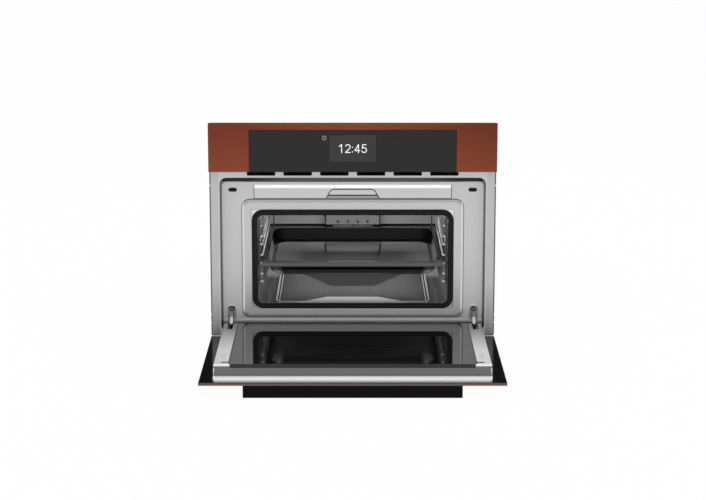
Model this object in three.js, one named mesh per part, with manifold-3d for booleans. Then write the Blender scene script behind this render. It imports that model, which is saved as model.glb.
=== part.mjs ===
// A compact built-in steam oven with its drop-down door open, made of separate pieces.
// Millimetres. X runs across the front, Y from the front to the back, Z up.
// The origin is the centre of the underside. Depths are measured back from the steel front's face.
import * as THREE from "three";
import { mergeVertices } from "three/addons/utils/BufferGeometryUtils.js";
import Module from "manifold-3d";

const wasm = await Module();
wasm.setup();

// Working values
const quarter = Math.PI / 2;
const mergeDistance = 0.001;
const overrun = 6;
const cornerSteps = 4;
const roundSides = 20;
const smallSides = 10;

// General sizes
const sheet = 1.5;
const thinSheet = 1.2;
const seatGap = 0.3;
const glassThickness = 6;
const frontWidth = 596;
const frontHeight = 454;
const headroom = 192;
const caseDepth = 548;
const caseWidth = 557.6;

// Steel front
const steelFrontDrop = 14;
const flangeDepth = 19;
const recessWidth = 556;
const recessHeadroom = 16.5;
const recessBottom = 8;
const recessDepth = 20;
const recessSideSlant = 4;
const recessTopSlant = 13;
const recessBottomSlant = 2;
const recessFrontCorner = 14.6;
const recessFloorCorner = 6;
const padWidth = 466;
const padMarginBottom = 29;
const padMarginTop = 34.5;
const padRaise = 3;
const padCorner = 17;
const seatMargin = 0.6;
const seatCorner = 3;
const ventCount = 6;
const ventWidth = 59.8;
const ventPitch = 76.1;
const ventRise = 5;
const ventHeight = 18;
const ventCorner = 3;
const sideNotchLow = 24;
const sideNotchPitch = 17;
const sideNotchDrop = 18;
const sideNotchDepth = 2.4;
const sideNotchHeight = 5;
const windowWidth = 410;
const windowRise = 17.6;
const windowDrop = 9;
const windowCorner = 5;

// Opening, seal and cooking chamber
const openingWidth = 399.4;
const openingSill = 10;
const openingLintel = 8;
const openingCorner = 12;
const sealBand = 11.5;
const sealCorner = 22;
const sealProud = 3.7;
const cavityWidth = 400;
const cavityFloor = 55;
const cavityDepth = 400;
const cavityCorner = 12;
const linerFlange = 13;
const insulationThickness = 18;

// Rear fan cover
const baffleWidth = 127;
const baffleFloorGap = 9;
const baffleCeilingGap = 10;
const baffleStandOff = 22;
const baffleCorner = 5;
const starRadius = 4.8;
const starInnerRadius = 2;
const starPoints = 6;
const starPitch = 22.8;
const starColumns = 4;
const starRows = 3;
const starRise = 4;
const perforationDrop = 13;
const perforationPitch = 4.7;
const perforationSize = 2.4;
const perforationCount = 20;

// Floor pan
const floorPanWidth = 330;
const floorPanFront = 52;
const floorPanDepth = 318;
const floorPanRim = 6.5;
const floorPanRimHeight = 4;
const floorPanCorner = 18;

// Wire racks
const rackWire = 4;
const rackWireSides = 6;
const rackWallGap = 0.9;
const rackRunnerInset = 7;
const rackFront = 34;
const rackBack = 390;
const rackTopGap = 20;
const runnerHeight = 148;
const runnerPitch = 40;
const runnersBelow = 1;
const guideRise = 17;
const nutRadius = 6.5;
const nutLength = 6.2;
const nutDrop = 44;
const nutSides = 12;

// Tray
const trayRimWidth = 386;
const trayFront = 25;
const trayBack = 397;
const trayDepth = 33;
const trayFlangeSide = 12.5;
const trayFlangeFront = 15;
const trayFlangeBack = 22;
const trayWallSlant = 9;
const trayCorner = 22;
const trayRimCorner = 12;
const trayLip = 10;

// Fascia
const fasciaStand = 14;
const fasciaLap = 5.6;
const panelGlassWidth = 427;
const panelGlassDrop = 14.4;
const glassGap = 0.4;
const screenWidth = 97;
const screenRise = 21.1;
const screenHeight = 56.5;
const screenCorner = 2;
const carrierMargin = 1.5;
const carrierWall = 2;
const moduleMargin = 1.5;
const moduleDepth = 23;
const boardThickness = 1.6;
const controlBoardWidth = 260;
const controlBoardRise = 64;
const controlHousingGap = 3;
const controlHousingDepth = 57;

// Water tank drawer
const tankCoverWidth = 413.4;
const tankCoverDrop = 2.3;
const tankCoverHeight = 28.8;
const tankCoverThickness = 3;
const tankCoverStand = 0.3;
const gripTopWidth = 89;
const gripBottomWidth = 111;
const gripDrop = 9;
const gripFoldRise = 4.3;
const gripSunk = 1.6;
const tankWidth = 390;
const tankLift = 2.1;
const tankHeight = 21;
const tankLength = 210;
const tankWall = 2.2;
const lidThickness = 2.4;
const tankSlideGap = 0.5;
const valveX = -160;
const valveRadius = 5;

// Door, measured as it stands when shut
const hingeDepth = -5;
const hingeHeight = 7;
const hingeX = 255.5;
const doorGlassBottom = 3;
const doorGlassLap = 13;
const doorWidth = 540;
const doorInnerDepth = 16;
const doorBodyBottom = 12;
const doorTopGap = 1;
const doorTopSlant = 12;
const doorLedgeDepth = -4.6;
const doorLipDepth = -9.7;
const doorLipDrop = 2.5;
const columnWidth = 29;
const columnHoleWidth = 14.5;
const columnHoleHeight = 9;
const columnHoleX = 249.2;
const innerGlassThickness = 4;
const middleGlassMargin = 8;
const bottomTrimHeight = 12;
const trimLap = 1.2;
const trimCorner = 6;

// Door handle
const handleWidth = 424.6;
const handleStand = 24.4;
const handleTopThickness = 5;
const handleLip = 6;
const handleHeight = 26;
const handleFlange = 2.6;
const handleEnd = 4;

// Hinges
const armThickness = 6;
const armBoss = 4.5;
const pinRadius = 2.4;
const runningGap = 0.3;
const armReach = 44;
const armRootBottom = 35;
const armRootTop = 50;
const hingeSlotWidth = 11;
const hingeSlotBottom = 31;
const hingeSlotTop = 56;
const receiverWall = 2.5;
const receiverDepth = 28;
const earThickness = 2.2;
const cartridgeDrop = 124;
const cartridgeBack = -11.5;
const cartridgeFront = 9;
const doorSlotTop = 60;

// Catches
const catchX = 250.8;
const catchDrop = 27.1;
const catchWidth = 17.3;
const catchRise = 8;
const catchDepth = 6;
const catchProud = 0.8;
const catchHollow = 3;

// Shelf above the chamber and what stands on it
const shelfGap = 6.9;
const shelfBack = 455;
const ductMouthMargin = 2.5;
const ductTopMargin = 1;
const ductFrontWidth = 452;
const ductBackWidth = 116;
const ductKneeDepth = 246;
const ductKneeRise = 9;
const blowerDepth = 380;
const blowerRadius = 82;
const blowerLift = 22.1;
const blowerWall = 2;
const blowerNeckWidth = 120;
const blowerNeckFront = 290;
const blowerInlet = 42;
const blowerMotorRadius = 32;
const wheelRadius = 64;
const wheelInner = 46;
const wheelPlate = 2;
const wheelHub = 12;
const wheelShaft = 5;
const wheelBlades = 14;
const wheelBladeThickness = 1.6;
const wheelClearance = 4;
const generatorX = 165;
const generatorWidth = 110;
const generatorFront = 300;
const generatorDepth = 120;
const generatorRise = 56.1;
const generatorCorner = 14;
const pumpWidth = 56;
const pumpDepth = 74;
const pumpRise = 38.1;
const pumpCorner = 8;
const hoseRadius = 4;
const hoseSides = 8;
const hoseSteps = 20;
const hoseLift = 12.1;
const hoseDepth = 322;
const hoseDip = 5;
const steamPipeRadius = 5;
const steamPipeX = 130;
const steamPipeDrop = 47;
const steamPipeLift = 15.1;
const steamPipeBack = 484;
const steamPipeRise = 30;
const steamPipeSteps = 24;
const powerBoardLeft = -271;
const powerBoardRight = -206;
const powerBoardFront = 60;
const powerBoardBack = 280;
const powerBoardLift = 6;
const relayCount = 4;

// Hot-air drive
const hotAirDrop = 0.5;
const hotAirRadius = 40;
const hotAirBlades = 12;
const hotAirBladeThickness = 1.4;
const hotAirWidth = 14;
const hotAirHub = 9;
const hotAirShaft = 4;
const shaftHole = 9;
const heaterRadius = 50;
const heaterTube = 3.2;
const motorRadius = 36;
const motorLength = 58;
const motorPlate = 2;
const motorPlateWidth = 116;
const motorPlateHeight = 84;

// Lamp and mains entry
const lampX = 120;
const lampDepth = 250;
const lampRadius = 23;
const lensRadius = 30;
const lensThickness = 3;
const inletX = 225;
const inletLift = 22.1;
const inletRadius = 10;
const inletBore = 5;
const inletFlangeRadius = 16;
const inletFlange = 4;
const inletDepth = 26;

// Base and top
const baseUpturn = 24;
const caseTopGap = 7;

// Places worked out from the sizes above
const frontY = -caseDepth / 2;
const halfFront = frontWidth / 2;
const halfCase = caseWidth / 2;
const recessBack = recessDepth + sheet;
const padDepth = recessDepth - padRaise;
const linerFront = recessBack + seatGap;
const linerBack = linerFront + cavityDepth;
const baffleDepth = linerBack - baffleStandOff;
const insulationBack = linerBack + sheet + insulationThickness;
const trayRim = runnerHeight + rackWire / 2 + seatGap + thinSheet;
const panelInside = halfCase - sheet;
const rearInside = caseDepth - sheet - seatGap;
const tankCoverFront = recessDepth - tankCoverThickness - tankCoverStand;
const tankFront = recessDepth - tankCoverStand + seatGap;
const bayBack = tankFront + tankLength + overrun;
const glassBack = -fasciaStand;
const glassFront = glassBack - glassThickness;

// Heights worked out from the chamber upwards
const cavityCeiling = frontHeight - headroom;
const openingBottom = cavityFloor + openingSill;
const openingTop = cavityCeiling - openingLintel;
const padBottom = openingBottom - padMarginBottom;
const padTop = openingTop + padMarginTop;
const shelfHeight = cavityCeiling + sheet + insulationThickness + shelfGap;
const shelfTop = shelfHeight + sheet;
const tankBottom = shelfTop + tankLift;
const tankTop = tankBottom + tankHeight;
const lidTop = tankTop + seatGap + lidThickness;
const tankCoverBottom = tankBottom - tankCoverDrop;
const tankCoverTop = tankCoverBottom + tankCoverHeight;
const gripTop = tankCoverTop - gripDrop;
const gripFold = tankCoverBottom + gripFoldRise;
const recessTop = tankCoverTop + recessHeadroom;
const sideNotchHeights = [
  sideNotchLow,
  sideNotchLow + sideNotchPitch,
  recessTop - sideNotchDrop,
];
const ventBottom = recessTop + ventRise;
const ventTop = ventBottom + ventHeight;
const ductFrontBottom = ventBottom - ductMouthMargin;
const ductTop = ventTop + ductTopMargin;
const blowerBottom = shelfTop + blowerLift;
const blowerTop = ductTop;
const ductBackBottom = blowerBottom + sheet;
const ductKneeBottom = ductBackBottom + ductKneeRise;
const caseTop = ductTop + caseTopGap;
const controlHousingBottom = ductTop + controlHousingGap;
const fasciaBottom = ventTop - fasciaLap;
const steelFrontTop = frontHeight - steelFrontDrop;
const panelGlassTop = frontHeight - panelGlassDrop;
const screenBottom = fasciaBottom + screenRise;
const screenTop = screenBottom + screenHeight;
const windowBottom = fasciaBottom + windowRise;
const windowTop = steelFrontTop - windowDrop;
const generatorTop = shelfTop + generatorRise;
const pumpTop = shelfTop + pumpRise;
const hoseHeight = shelfTop + hoseLift;
const steamPipeLeave = shelfTop + steamPipeLift;
const inletHeight = shelfTop + inletLift;

// Heights inside the chamber
const hotAirHeight = (cavityFloor + cavityCeiling) / 2 - hotAirDrop;
const steamPipeHeight = cavityCeiling - steamPipeDrop;
const baffleBottom = cavityFloor + baffleFloorGap;
const baffleTop = cavityCeiling - baffleCeilingGap;
const starTopHeight = hotAirHeight + starRise;
const perforationHeight = starTopHeight - perforationDrop;
const rackTop = cavityCeiling - rackTopGap;
const rackBottom = runnerHeight - runnersBelow * runnerPitch - rackWire / 2;
const runnersAbove = Math.floor((rackTop - runnerHeight) / runnerPitch);
const nutHeight = rackTop - nutDrop;

// Heights on the door
const doorGlassTop = recessTop + doorGlassLap;
const doorBodyTop = recessTop - doorTopGap;
const doorTopSlantEnd = doorBodyTop - doorTopSlant;
const doorLipTop = doorGlassTop - doorLipDrop;
const catchHeight = recessTop - catchDrop;
const cartridgeTop = doorBodyTop - cartridgeDrop;

// Closed geometry and solids

// A closed geometry as a solid that can be joined and cut.
function solidOf(geometry) {
  const plain = geometry.clone();
  for (const name of Object.keys(plain.attributes)) {
    if (name !== "position") plain.deleteAttribute(name);
  }
  const merged = mergeVertices(plain, mergeDistance);
  const mesh = new wasm.Mesh({
    numProp: 3,
    vertProperties: merged.attributes.position.array,
    triVerts: new Uint32Array(merged.index.array),
  });
  return new wasm.Manifold(mesh);
}

// A solid as a geometry that three.js can draw.
function geometryOf(solid) {
  const mesh = solid.getMesh();
  const places = new Float32Array(mesh.numVert * 3);
  for (let i = 0; i < mesh.numVert; i += 1) {
    const start = i * mesh.numProp;
    places.set(mesh.vertProperties.subarray(start, start + 3), i * 3);
  }
  const geometry = new THREE.BufferGeometry();
  geometry.setAttribute("position", new THREE.BufferAttribute(places, 3));
  geometry.setIndex(new THREE.BufferAttribute(mesh.triVerts, 1));
  geometry.computeVertexNormals();
  return geometry;
}

function joined(solids) {
  return solids.reduce((whole, next) => whole.add(next));
}

function cut(solid, tools) {
  return tools.reduce((left, tool) => left.subtract(tool), solid);
}

// Outlines are lists of points that run anticlockwise.

function arc(x, y, radius, start, end, steps) {
  return Array.from({ length: steps + 1 }, (_, i) => {
    const angle = start + ((end - start) * i) / steps;
    return new THREE.Vector2(x + radius * Math.cos(angle), y + radius * Math.sin(angle));
  });
}

function polygon(points) {
  return points.map(([x, y]) => new THREE.Vector2(x, y));
}

function roundedOutline(left, right, bottom, top, radius) {
  return [
    ...arc(right - radius, bottom + radius, radius, -quarter, 0, cornerSteps),
    ...arc(right - radius, top - radius, radius, 0, quarter, cornerSteps),
    ...arc(left + radius, top - radius, radius, quarter, 2 * quarter, cornerSteps),
    ...arc(left + radius, bottom + radius, radius, 2 * quarter, 3 * quarter, cornerSteps),
  ];
}

// A rounded rectangle centred across the front.
function centredOutline(width, bottom, top, radius) {
  return roundedOutline(-width / 2, width / 2, bottom, top, radius);
}

function ringOutline(x, y, radius, sides) {
  return arc(x, y, radius, 0, 4 * quarter, sides).slice(0, sides);
}

function extruded(outline, holes, length) {
  const shape = new THREE.Shape(outline);
  shape.holes = holes.map((hole) => new THREE.Path(hole));
  return new THREE.ExtrudeGeometry(shape, { depth: length, bevelEnabled: false });
}

// An outline across the front, X and Z, carried from one depth to another.
function plate(outline, near, far, holes = []) {
  const geometry = extruded(outline, holes, far - near);
  geometry.rotateX(quarter);
  geometry.translate(0, frontY + far, 0);
  return solidOf(geometry);
}

// A side outline, depth and Z, carried along X.
function beam(outline, left, right, holes = []) {
  const geometry = extruded(outline, holes, right - left);
  const turn = new THREE.Matrix4().makeBasis(
    new THREE.Vector3(0, 1, 0),
    new THREE.Vector3(0, 0, 1),
    new THREE.Vector3(1, 0, 0),
  );
  geometry.applyMatrix4(turn);
  geometry.translate(left, frontY, 0);
  return solidOf(geometry);
}

// An outline seen from above, X and depth, carried upwards.
function board(outline, bottom, top, holes = []) {
  const geometry = extruded(outline, holes, top - bottom);
  geometry.translate(0, frontY, bottom);
  return solidOf(geometry);
}

function block(left, right, near, far, bottom, top) {
  const geometry = new THREE.BoxGeometry(right - left, far - near, top - bottom);
  geometry.translate((left + right) / 2, frontY + (near + far) / 2, (bottom + top) / 2);
  return solidOf(geometry);
}

function rodAcross(depth, height, radius, left, right, sides = roundSides) {
  return beam(ringOutline(depth, height, radius, sides), left, right);
}

function rodBack(x, height, radius, near, far, sides = roundSides) {
  return plate(ringOutline(x, height, radius, sides), near, far);
}

function rodUp(x, depth, radius, bottom, top, sides = roundSides) {
  return board(ringOutline(x, depth, radius, sides), bottom, top);
}

// The solid between an outline at one depth and another, with as many points, further back.
function taper(nearOutline, near, farOutline, far) {
  const count = nearOutline.length;
  const places = [];
  const faces = [];
  for (const point of nearOutline) places.push(point.x, frontY + near, point.y);
  for (const point of farOutline) places.push(point.x, frontY + far, point.y);
  for (const [a, b, c] of THREE.ShapeUtils.triangulateShape(nearOutline, [])) {
    faces.push(a, b, c);
    faces.push(count + a, count + c, count + b);
  }
  for (let i = 0; i < count; i += 1) {
    const next = (i + 1) % count;
    faces.push(i, count + next, next);
    faces.push(i, count + i, count + next);
  }
  const geometry = new THREE.BufferGeometry();
  geometry.setAttribute("position", new THREE.Float32BufferAttribute(places, 3));
  geometry.setIndex(faces);
  return solidOf(geometry.toNonIndexed());
}

// A round tube along a smooth line through points of X, depth and Z.
function tube(points, radius, steps) {
  const places = points.map(([x, depth, z]) => new THREE.Vector3(x, frontY + depth, z));
  const path = new THREE.CatmullRomCurve3(places);
  const section = new THREE.Shape(ringOutline(0, 0, radius, hoseSides));
  const options = { steps, extrudePath: path, bevelEnabled: false };
  return solidOf(new THREE.ExtrudeGeometry(section, options));
}

// Scene graph

const oven = new THREE.Group();
oven.name = "compact_steam_oven";

// The door is built as it stands when shut, about its hinge line, and then dropped open.
const door = new THREE.Group();
door.position.set(0, frontY + hingeDepth, hingeHeight);
door.rotation.x = quarter;
oven.add(door);

const finishes = {
  steel: { color: 0xbfc0c2, roughness: 0.32, metalness: 1 },
  polished: { color: 0xc9cacc, roughness: 0.16, metalness: 1 },
  galvanised: { color: 0xa9adb0, roughness: 0.5, metalness: 0.9 },
  redGlass: { color: 0x76392e, roughness: 0.06, metalness: 0.4 },
  blackGlass: { color: 0x101011, roughness: 0.06, metalness: 0 },
  clearGlass: { color: 0x222426, roughness: 0.05, metalness: 0 },
  screen: { color: 0x3f4042, roughness: 0.1, metalness: 0 },
  blackPlastic: { color: 0x161616, roughness: 0.5, metalness: 0 },
  greyPlastic: { color: 0x8c8f92, roughness: 0.55, metalness: 0 },
  clearPlastic: { color: 0xb9c6cc, roughness: 0.2, metalness: 0 },
  rubber: { color: 0x1f1f20, roughness: 0.7, metalness: 0 },
  wool: { color: 0xcfc8a8, roughness: 0.95, metalness: 0 },
  circuit: { color: 0x1d5a34, roughness: 0.6, metalness: 0 },
  chrome: { color: 0xd8d9db, roughness: 0.1, metalness: 1 },
  castMetal: { color: 0x9b9da0, roughness: 0.6, metalness: 0.9 },
};

function add(name, solid, finish, parent = oven) {
  const geometry = geometryOf(solid);
  if (parent === door) geometry.translate(0, -frontY - hingeDepth, -hingeHeight);
  const mesh = new THREE.Mesh(geometry, new THREE.MeshStandardMaterial(finishes[finish]));
  mesh.name = name;
  parent.add(mesh);
}

const sides = [
  ["left", -1],
  ["right", 1],
];

// A pair of limits along X on the left or right side, in rising order.
function sideSpan(side, inner, outer) {
  return side < 0 ? [-outer, -inner] : [inner, outer];
}

// Steel front

function recessOutlines(grow) {
  const near = centredOutline(
    recessWidth + 2 * grow,
    recessBottom - grow,
    recessTop + grow,
    recessFrontCorner + grow,
  );
  const far = centredOutline(
    recessWidth - 2 * recessSideSlant + 2 * grow,
    recessBottom + recessBottomSlant - grow,
    recessTop - recessTopSlant + grow,
    recessFloorCorner + grow,
  );
  return [near, far];
}

function openingOutline(grow) {
  return centredOutline(
    openingWidth + 2 * grow,
    openingBottom - grow,
    openingTop + grow,
    openingCorner,
  );
}

function seatOutline(grow) {
  const reach = sealBand + seatMargin + grow;
  return centredOutline(
    openingWidth + 2 * reach,
    openingBottom - reach,
    openingTop + reach,
    seatCorner,
  );
}

function padOutline(shrink) {
  return centredOutline(
    padWidth - 2 * shrink,
    padBottom + shrink,
    padTop - shrink,
    padCorner - shrink,
  );
}

function catchOutline(side, grow) {
  const x = side * catchX;
  const radius = catchRise / 2 + grow;
  const half = catchWidth / 2 - catchRise / 2;
  return [
    ...arc(x + half, catchHeight, radius, -quarter, quarter, 2 * cornerSteps),
    ...arc(x - half, catchHeight, radius, quarter, 3 * quarter, 2 * cornerSteps),
  ];
}

function tankOpeningOutline() {
  return centredOutline(
    tankWidth + 2 * tankSlideGap,
    tankBottom - tankSlideGap,
    lidTop + tankSlideGap,
    tankSlideGap,
  );
}

function makeSteelFront() {
  const [near, far] = recessOutlines(0);
  const [nearOut, farOut] = recessOutlines(sheet);
  const face = plate(centredOutline(frontWidth, 0, steelFrontTop, sheet), 0, sheet);
  const flanges = sides.map(([, side]) => {
    const [left, right] = sideSpan(side, halfFront - sheet, halfFront);
    return block(left, right, 0, flangeDepth, sheet, steelFrontTop - sheet);
  });
  const pan = taper(nearOut, 0, farOut, recessBack);
  const body = joined([face, ...flanges, pan]);
  const hollow = joined([taper(near, 0, far, recessDepth), plate(near, -overrun, 0)]);
  const seatRoom = plate(seatOutline(0), padDepth - overrun, recessDepth);
  const pad = cut(plate(padOutline(0), padDepth, recessBack), [
    plate(padOutline(sheet), padDepth + sheet, recessBack + overrun),
    seatRoom,
  ]);
  const seat = cut(plate(seatOutline(sheet), padDepth, recessBack), [seatRoom]);
  const underPad = cut(plate(padOutline(sheet), padDepth + sheet, recessBack + overrun), [
    plate(seatOutline(sheet), 0, recessBack + 2 * overrun),
  ]);
  const vents = Array.from({ length: ventCount }, (_, i) => {
    const x = (i - (ventCount - 1) / 2) * ventPitch;
    const outline = roundedOutline(
      x - ventWidth / 2,
      x + ventWidth / 2,
      ventBottom,
      ventTop,
      ventCorner,
    );
    return plate(outline, -overrun, overrun);
  });
  const sideCuts = sides.flatMap(([, side]) => {
    const [slotLeft, slotRight] = sideSpan(
      side,
      hingeX - hingeSlotWidth / 2,
      hingeX + hingeSlotWidth / 2,
    );
    const slot = roundedOutline(
      slotLeft,
      slotRight,
      hingeSlotBottom,
      hingeSlotTop,
      hingeSlotWidth / 2 - seatGap,
    );
    const [notchLeft, notchRight] = sideSpan(side, halfFront - sideNotchDepth, halfFront + overrun);
    const notches = sideNotchHeights.map((height) =>
      block(notchLeft, notchRight, -overrun, overrun, height, height + sideNotchHeight),
    );
    return [
      plate(slot, padDepth, recessBack + overrun),
      plate(catchOutline(side, seatGap), padDepth, recessBack + overrun),
      ...notches,
    ];
  });
  const pressed = cut(joined([cut(body, [hollow]), pad, seat]), [underPad]);
  const tankMouth = plate(tankOpeningOutline(), padDepth, recessBack + overrun);
  const mouth = plate(openingOutline(0), padDepth - overrun, recessBack + overrun);
  const rearWindow = plate(
    centredOutline(windowWidth, windowBottom, windowTop, windowCorner),
    -overrun,
    overrun,
  );
  add("front_frame", cut(pressed, [mouth, tankMouth, rearWindow, ...vents, ...sideCuts]), "steel");
}

function makeCatches() {
  for (const [word, side] of sides) {
    const near = recessDepth - catchProud;
    const bush = plate(catchOutline(side, 0), near, near + catchDepth);
    const hollow = plate(catchOutline(side, -sheet), near - overrun, near + catchHollow);
    add("catch_bush_" + word, cut(bush, [hollow]), "blackPlastic");
  }
}

// Seal and chamber

function makeSeal() {
  const outer = centredOutline(
    openingWidth + 2 * sealBand,
    openingBottom - sealBand,
    openingTop + sealBand,
    sealCorner,
  );
  const near = recessDepth - sealProud;
  add("cavity_gasket", plate(outer, near, recessDepth - seatGap, [openingOutline(0)]), "rubber");
}

function cavityOutline(grow) {
  return centredOutline(
    cavityWidth + 2 * grow,
    cavityFloor - grow,
    cavityCeiling + grow,
    cavityCorner + grow,
  );
}

function makeLiner() {
  const shell = plate(cavityOutline(sheet), linerFront, linerBack + sheet);
  const flange = plate(cavityOutline(linerFlange), linerFront, linerFront + sheet);
  const inside = plate(cavityOutline(0), linerFront - overrun, linerBack);
  const liner = cut(joined([shell, flange]), [
    inside,
    rodBack(0, hotAirHeight, shaftHole, linerBack - overrun, linerBack + overrun),
    rodBack(
      steamPipeX,
      steamPipeHeight,
      steamPipeRadius + seatGap,
      linerBack - overrun,
      linerBack + overrun,
    ),
    rodUp(lampX, lampDepth, lampRadius + seatGap, cavityCeiling - overrun, cavityCeiling + overrun),
  ]);
  add("cavity_liner", liner, "polished");
}

function makeInsulation() {
  const near = linerFront + sheet + seatGap;
  const outer = plate(cavityOutline(sheet + insulationThickness), near, insulationBack);
  const chamber = plate(cavityOutline(sheet + seatGap), near - overrun, linerBack + sheet + seatGap);
  const jacket = cut(outer, [
    chamber,
    rodBack(0, hotAirHeight, shaftHole, linerBack, insulationBack + overrun),
    rodBack(
      steamPipeX,
      steamPipeHeight,
      steamPipeRadius + seatGap,
      linerBack,
      insulationBack + overrun,
    ),
    rodUp(lampX, lampDepth, lampRadius + seatGap, cavityCeiling, shelfHeight),
  ]);
  add("insulation", jacket, "wool");
}

function starOutline(x, y) {
  const corners = 2 * starPoints;
  return Array.from({ length: corners }, (_, i) => {
    const radius = i % 2 === 0 ? starRadius : starInnerRadius;
    const angle = quarter + (4 * quarter * i) / corners;
    return new THREE.Vector2(x + radius * Math.cos(angle), y + radius * Math.sin(angle));
  });
}

function makeBaffle() {
  const outline = centredOutline(baffleWidth, baffleBottom, baffleTop, baffleCorner);
  const inner = centredOutline(
    baffleWidth - 2 * thinSheet,
    baffleBottom + thinSheet,
    baffleTop - thinSheet,
    baffleCorner - thinSheet,
  );
  const cover = plate(outline, baffleDepth, linerBack - seatGap);
  const hollow = plate(inner, baffleDepth + thinSheet, linerBack + overrun);
  const stars = [];
  for (let row = 0; row < starRows; row += 1) {
    for (let column = 0; column < starColumns; column += 1) {
      const x = (column - (starColumns - 1) / 2) * starPitch;
      const height = starTopHeight - row * starPitch - (row > 0 ? perforationPitch : 0);
      const outlineOfStar = starOutline(x, height);
      stars.push(plate(outlineOfStar, baffleDepth - overrun, baffleDepth + overrun));
    }
  }
  const perforations = Array.from({ length: perforationCount }, (_, i) => {
    const x = (i - (perforationCount - 1) / 2) * perforationPitch;
    const half = perforationSize / 2;
    return block(
      x - half,
      x + half,
      baffleDepth - overrun,
      baffleDepth + overrun,
      perforationHeight - half,
      perforationHeight + half,
    );
  });
  add("fan_baffle", cut(cover, [hollow, ...stars, ...perforations]), "polished");
}

function makeFloorPan() {
  const bottom = cavityFloor + seatGap;
  const half = floorPanWidth / 2;
  const back = floorPanFront + floorPanDepth;
  const outline = roundedOutline(-half, half, floorPanFront, back, floorPanCorner);
  const inner = roundedOutline(
    -half + floorPanRim,
    half - floorPanRim,
    floorPanFront + floorPanRim,
    back - floorPanRim,
    floorPanCorner - floorPanRim,
  );
  const pan = board(outline, bottom, bottom + floorPanRimHeight);
  const hollow = board(inner, bottom + thinSheet, bottom + floorPanRimHeight + overrun);
  add("floor_pan", cut(pan, [hollow]), "polished");
}

// Wire racks

function makeRacks() {
  const wire = rackWire / 2;
  const postX = cavityWidth / 2 - rackWallGap - wire;
  const runnerX = postX - rackRunnerInset;
  const heights = [];
  for (let level = -runnersBelow; level <= runnersAbove; level += 1) {
    const height = runnerHeight + level * runnerPitch;
    heights.push(height);
    if (level < runnersAbove) heights.push(height + guideRise);
  }
  for (const [word, side] of sides) {
    const wires = [];
    for (const depth of [rackFront, rackBack]) {
      wires.push(rodUp(side * postX, depth, wire, rackBottom, rackTop, rackWireSides));
      const [left, right] = sideSpan(side, runnerX - wire, postX);
      for (const height of heights) {
        wires.push(rodAcross(depth, height, wire, left, right, rackWireSides));
      }
      const nutOuter = cavityWidth / 2 - seatGap;
      const [nutLeft, nutRight] = sideSpan(side, nutOuter - nutLength, nutOuter);
      wires.push(rodAcross(depth, nutHeight, nutRadius, nutLeft, nutRight, nutSides));
    }
    for (const height of heights) {
      wires.push(rodBack(side * runnerX, height, wire, rackFront, rackBack, rackWireSides));
    }
    add("side_rack_" + word, joined(wires), "chrome");
  }
}

// Tray: a flat rim round a sunk pan whose walls lean in.

function makeTray() {
  const half = trayRimWidth / 2;
  const rimBottom = trayRim - thinSheet;
  const base = trayRim - trayDepth;
  const left = -half + trayFlangeSide;
  const right = half - trayFlangeSide;
  const near = trayFront + trayFlangeFront;
  const far = trayBack - trayFlangeBack;
  const rim = board(
    roundedOutline(-half, half, trayFront, trayBack, trayRimCorner),
    rimBottom,
    trayRim,
  );
  const panSolid = (grow, top, bottom) => {
    const slant = trayWallSlant;
    const upper = roundedOutline(left - grow, right + grow, near - grow, far + grow, trayCorner);
    const lower = roundedOutline(
      left + slant - grow,
      right - slant + grow,
      near + slant - grow,
      far - slant + grow,
      trayCorner,
    );
    return upright(lower, bottom, upper, top);
  };
  const lip = block(
    -half + trayRimCorner,
    half - trayRimCorner,
    trayFront,
    trayFront + thinSheet,
    trayRim - trayLip,
    trayRim,
  );
  const body = joined([rim, lip, panSolid(thinSheet, trayRim, base)]);
  add("steam_tray", cut(body, [panSolid(0, trayRim + mergeDistance, base + thinSheet)]), "polished");
}

// The solid between an outline of X and depth at one height and another above it.
function upright(lowerOutline, bottom, upperOutline, top) {
  const count = lowerOutline.length;
  const places = [];
  const faces = [];
  for (const point of lowerOutline) places.push(point.x, frontY + point.y, bottom);
  for (const point of upperOutline) places.push(point.x, frontY + point.y, top);
  for (const [a, b, c] of THREE.ShapeUtils.triangulateShape(lowerOutline, [])) {
    faces.push(a, c, b);
    faces.push(count + a, count + b, count + c);
  }
  for (let i = 0; i < count; i += 1) {
    const next = (i + 1) % count;
    faces.push(i, next, count + next);
    faces.push(i, count + next, count + i);
  }
  const geometry = new THREE.BufferGeometry();
  geometry.setAttribute("position", new THREE.Float32BufferAttribute(places, 3));
  geometry.setIndex(faces);
  return solidOf(geometry.toNonIndexed());
}

// Fascia

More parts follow.
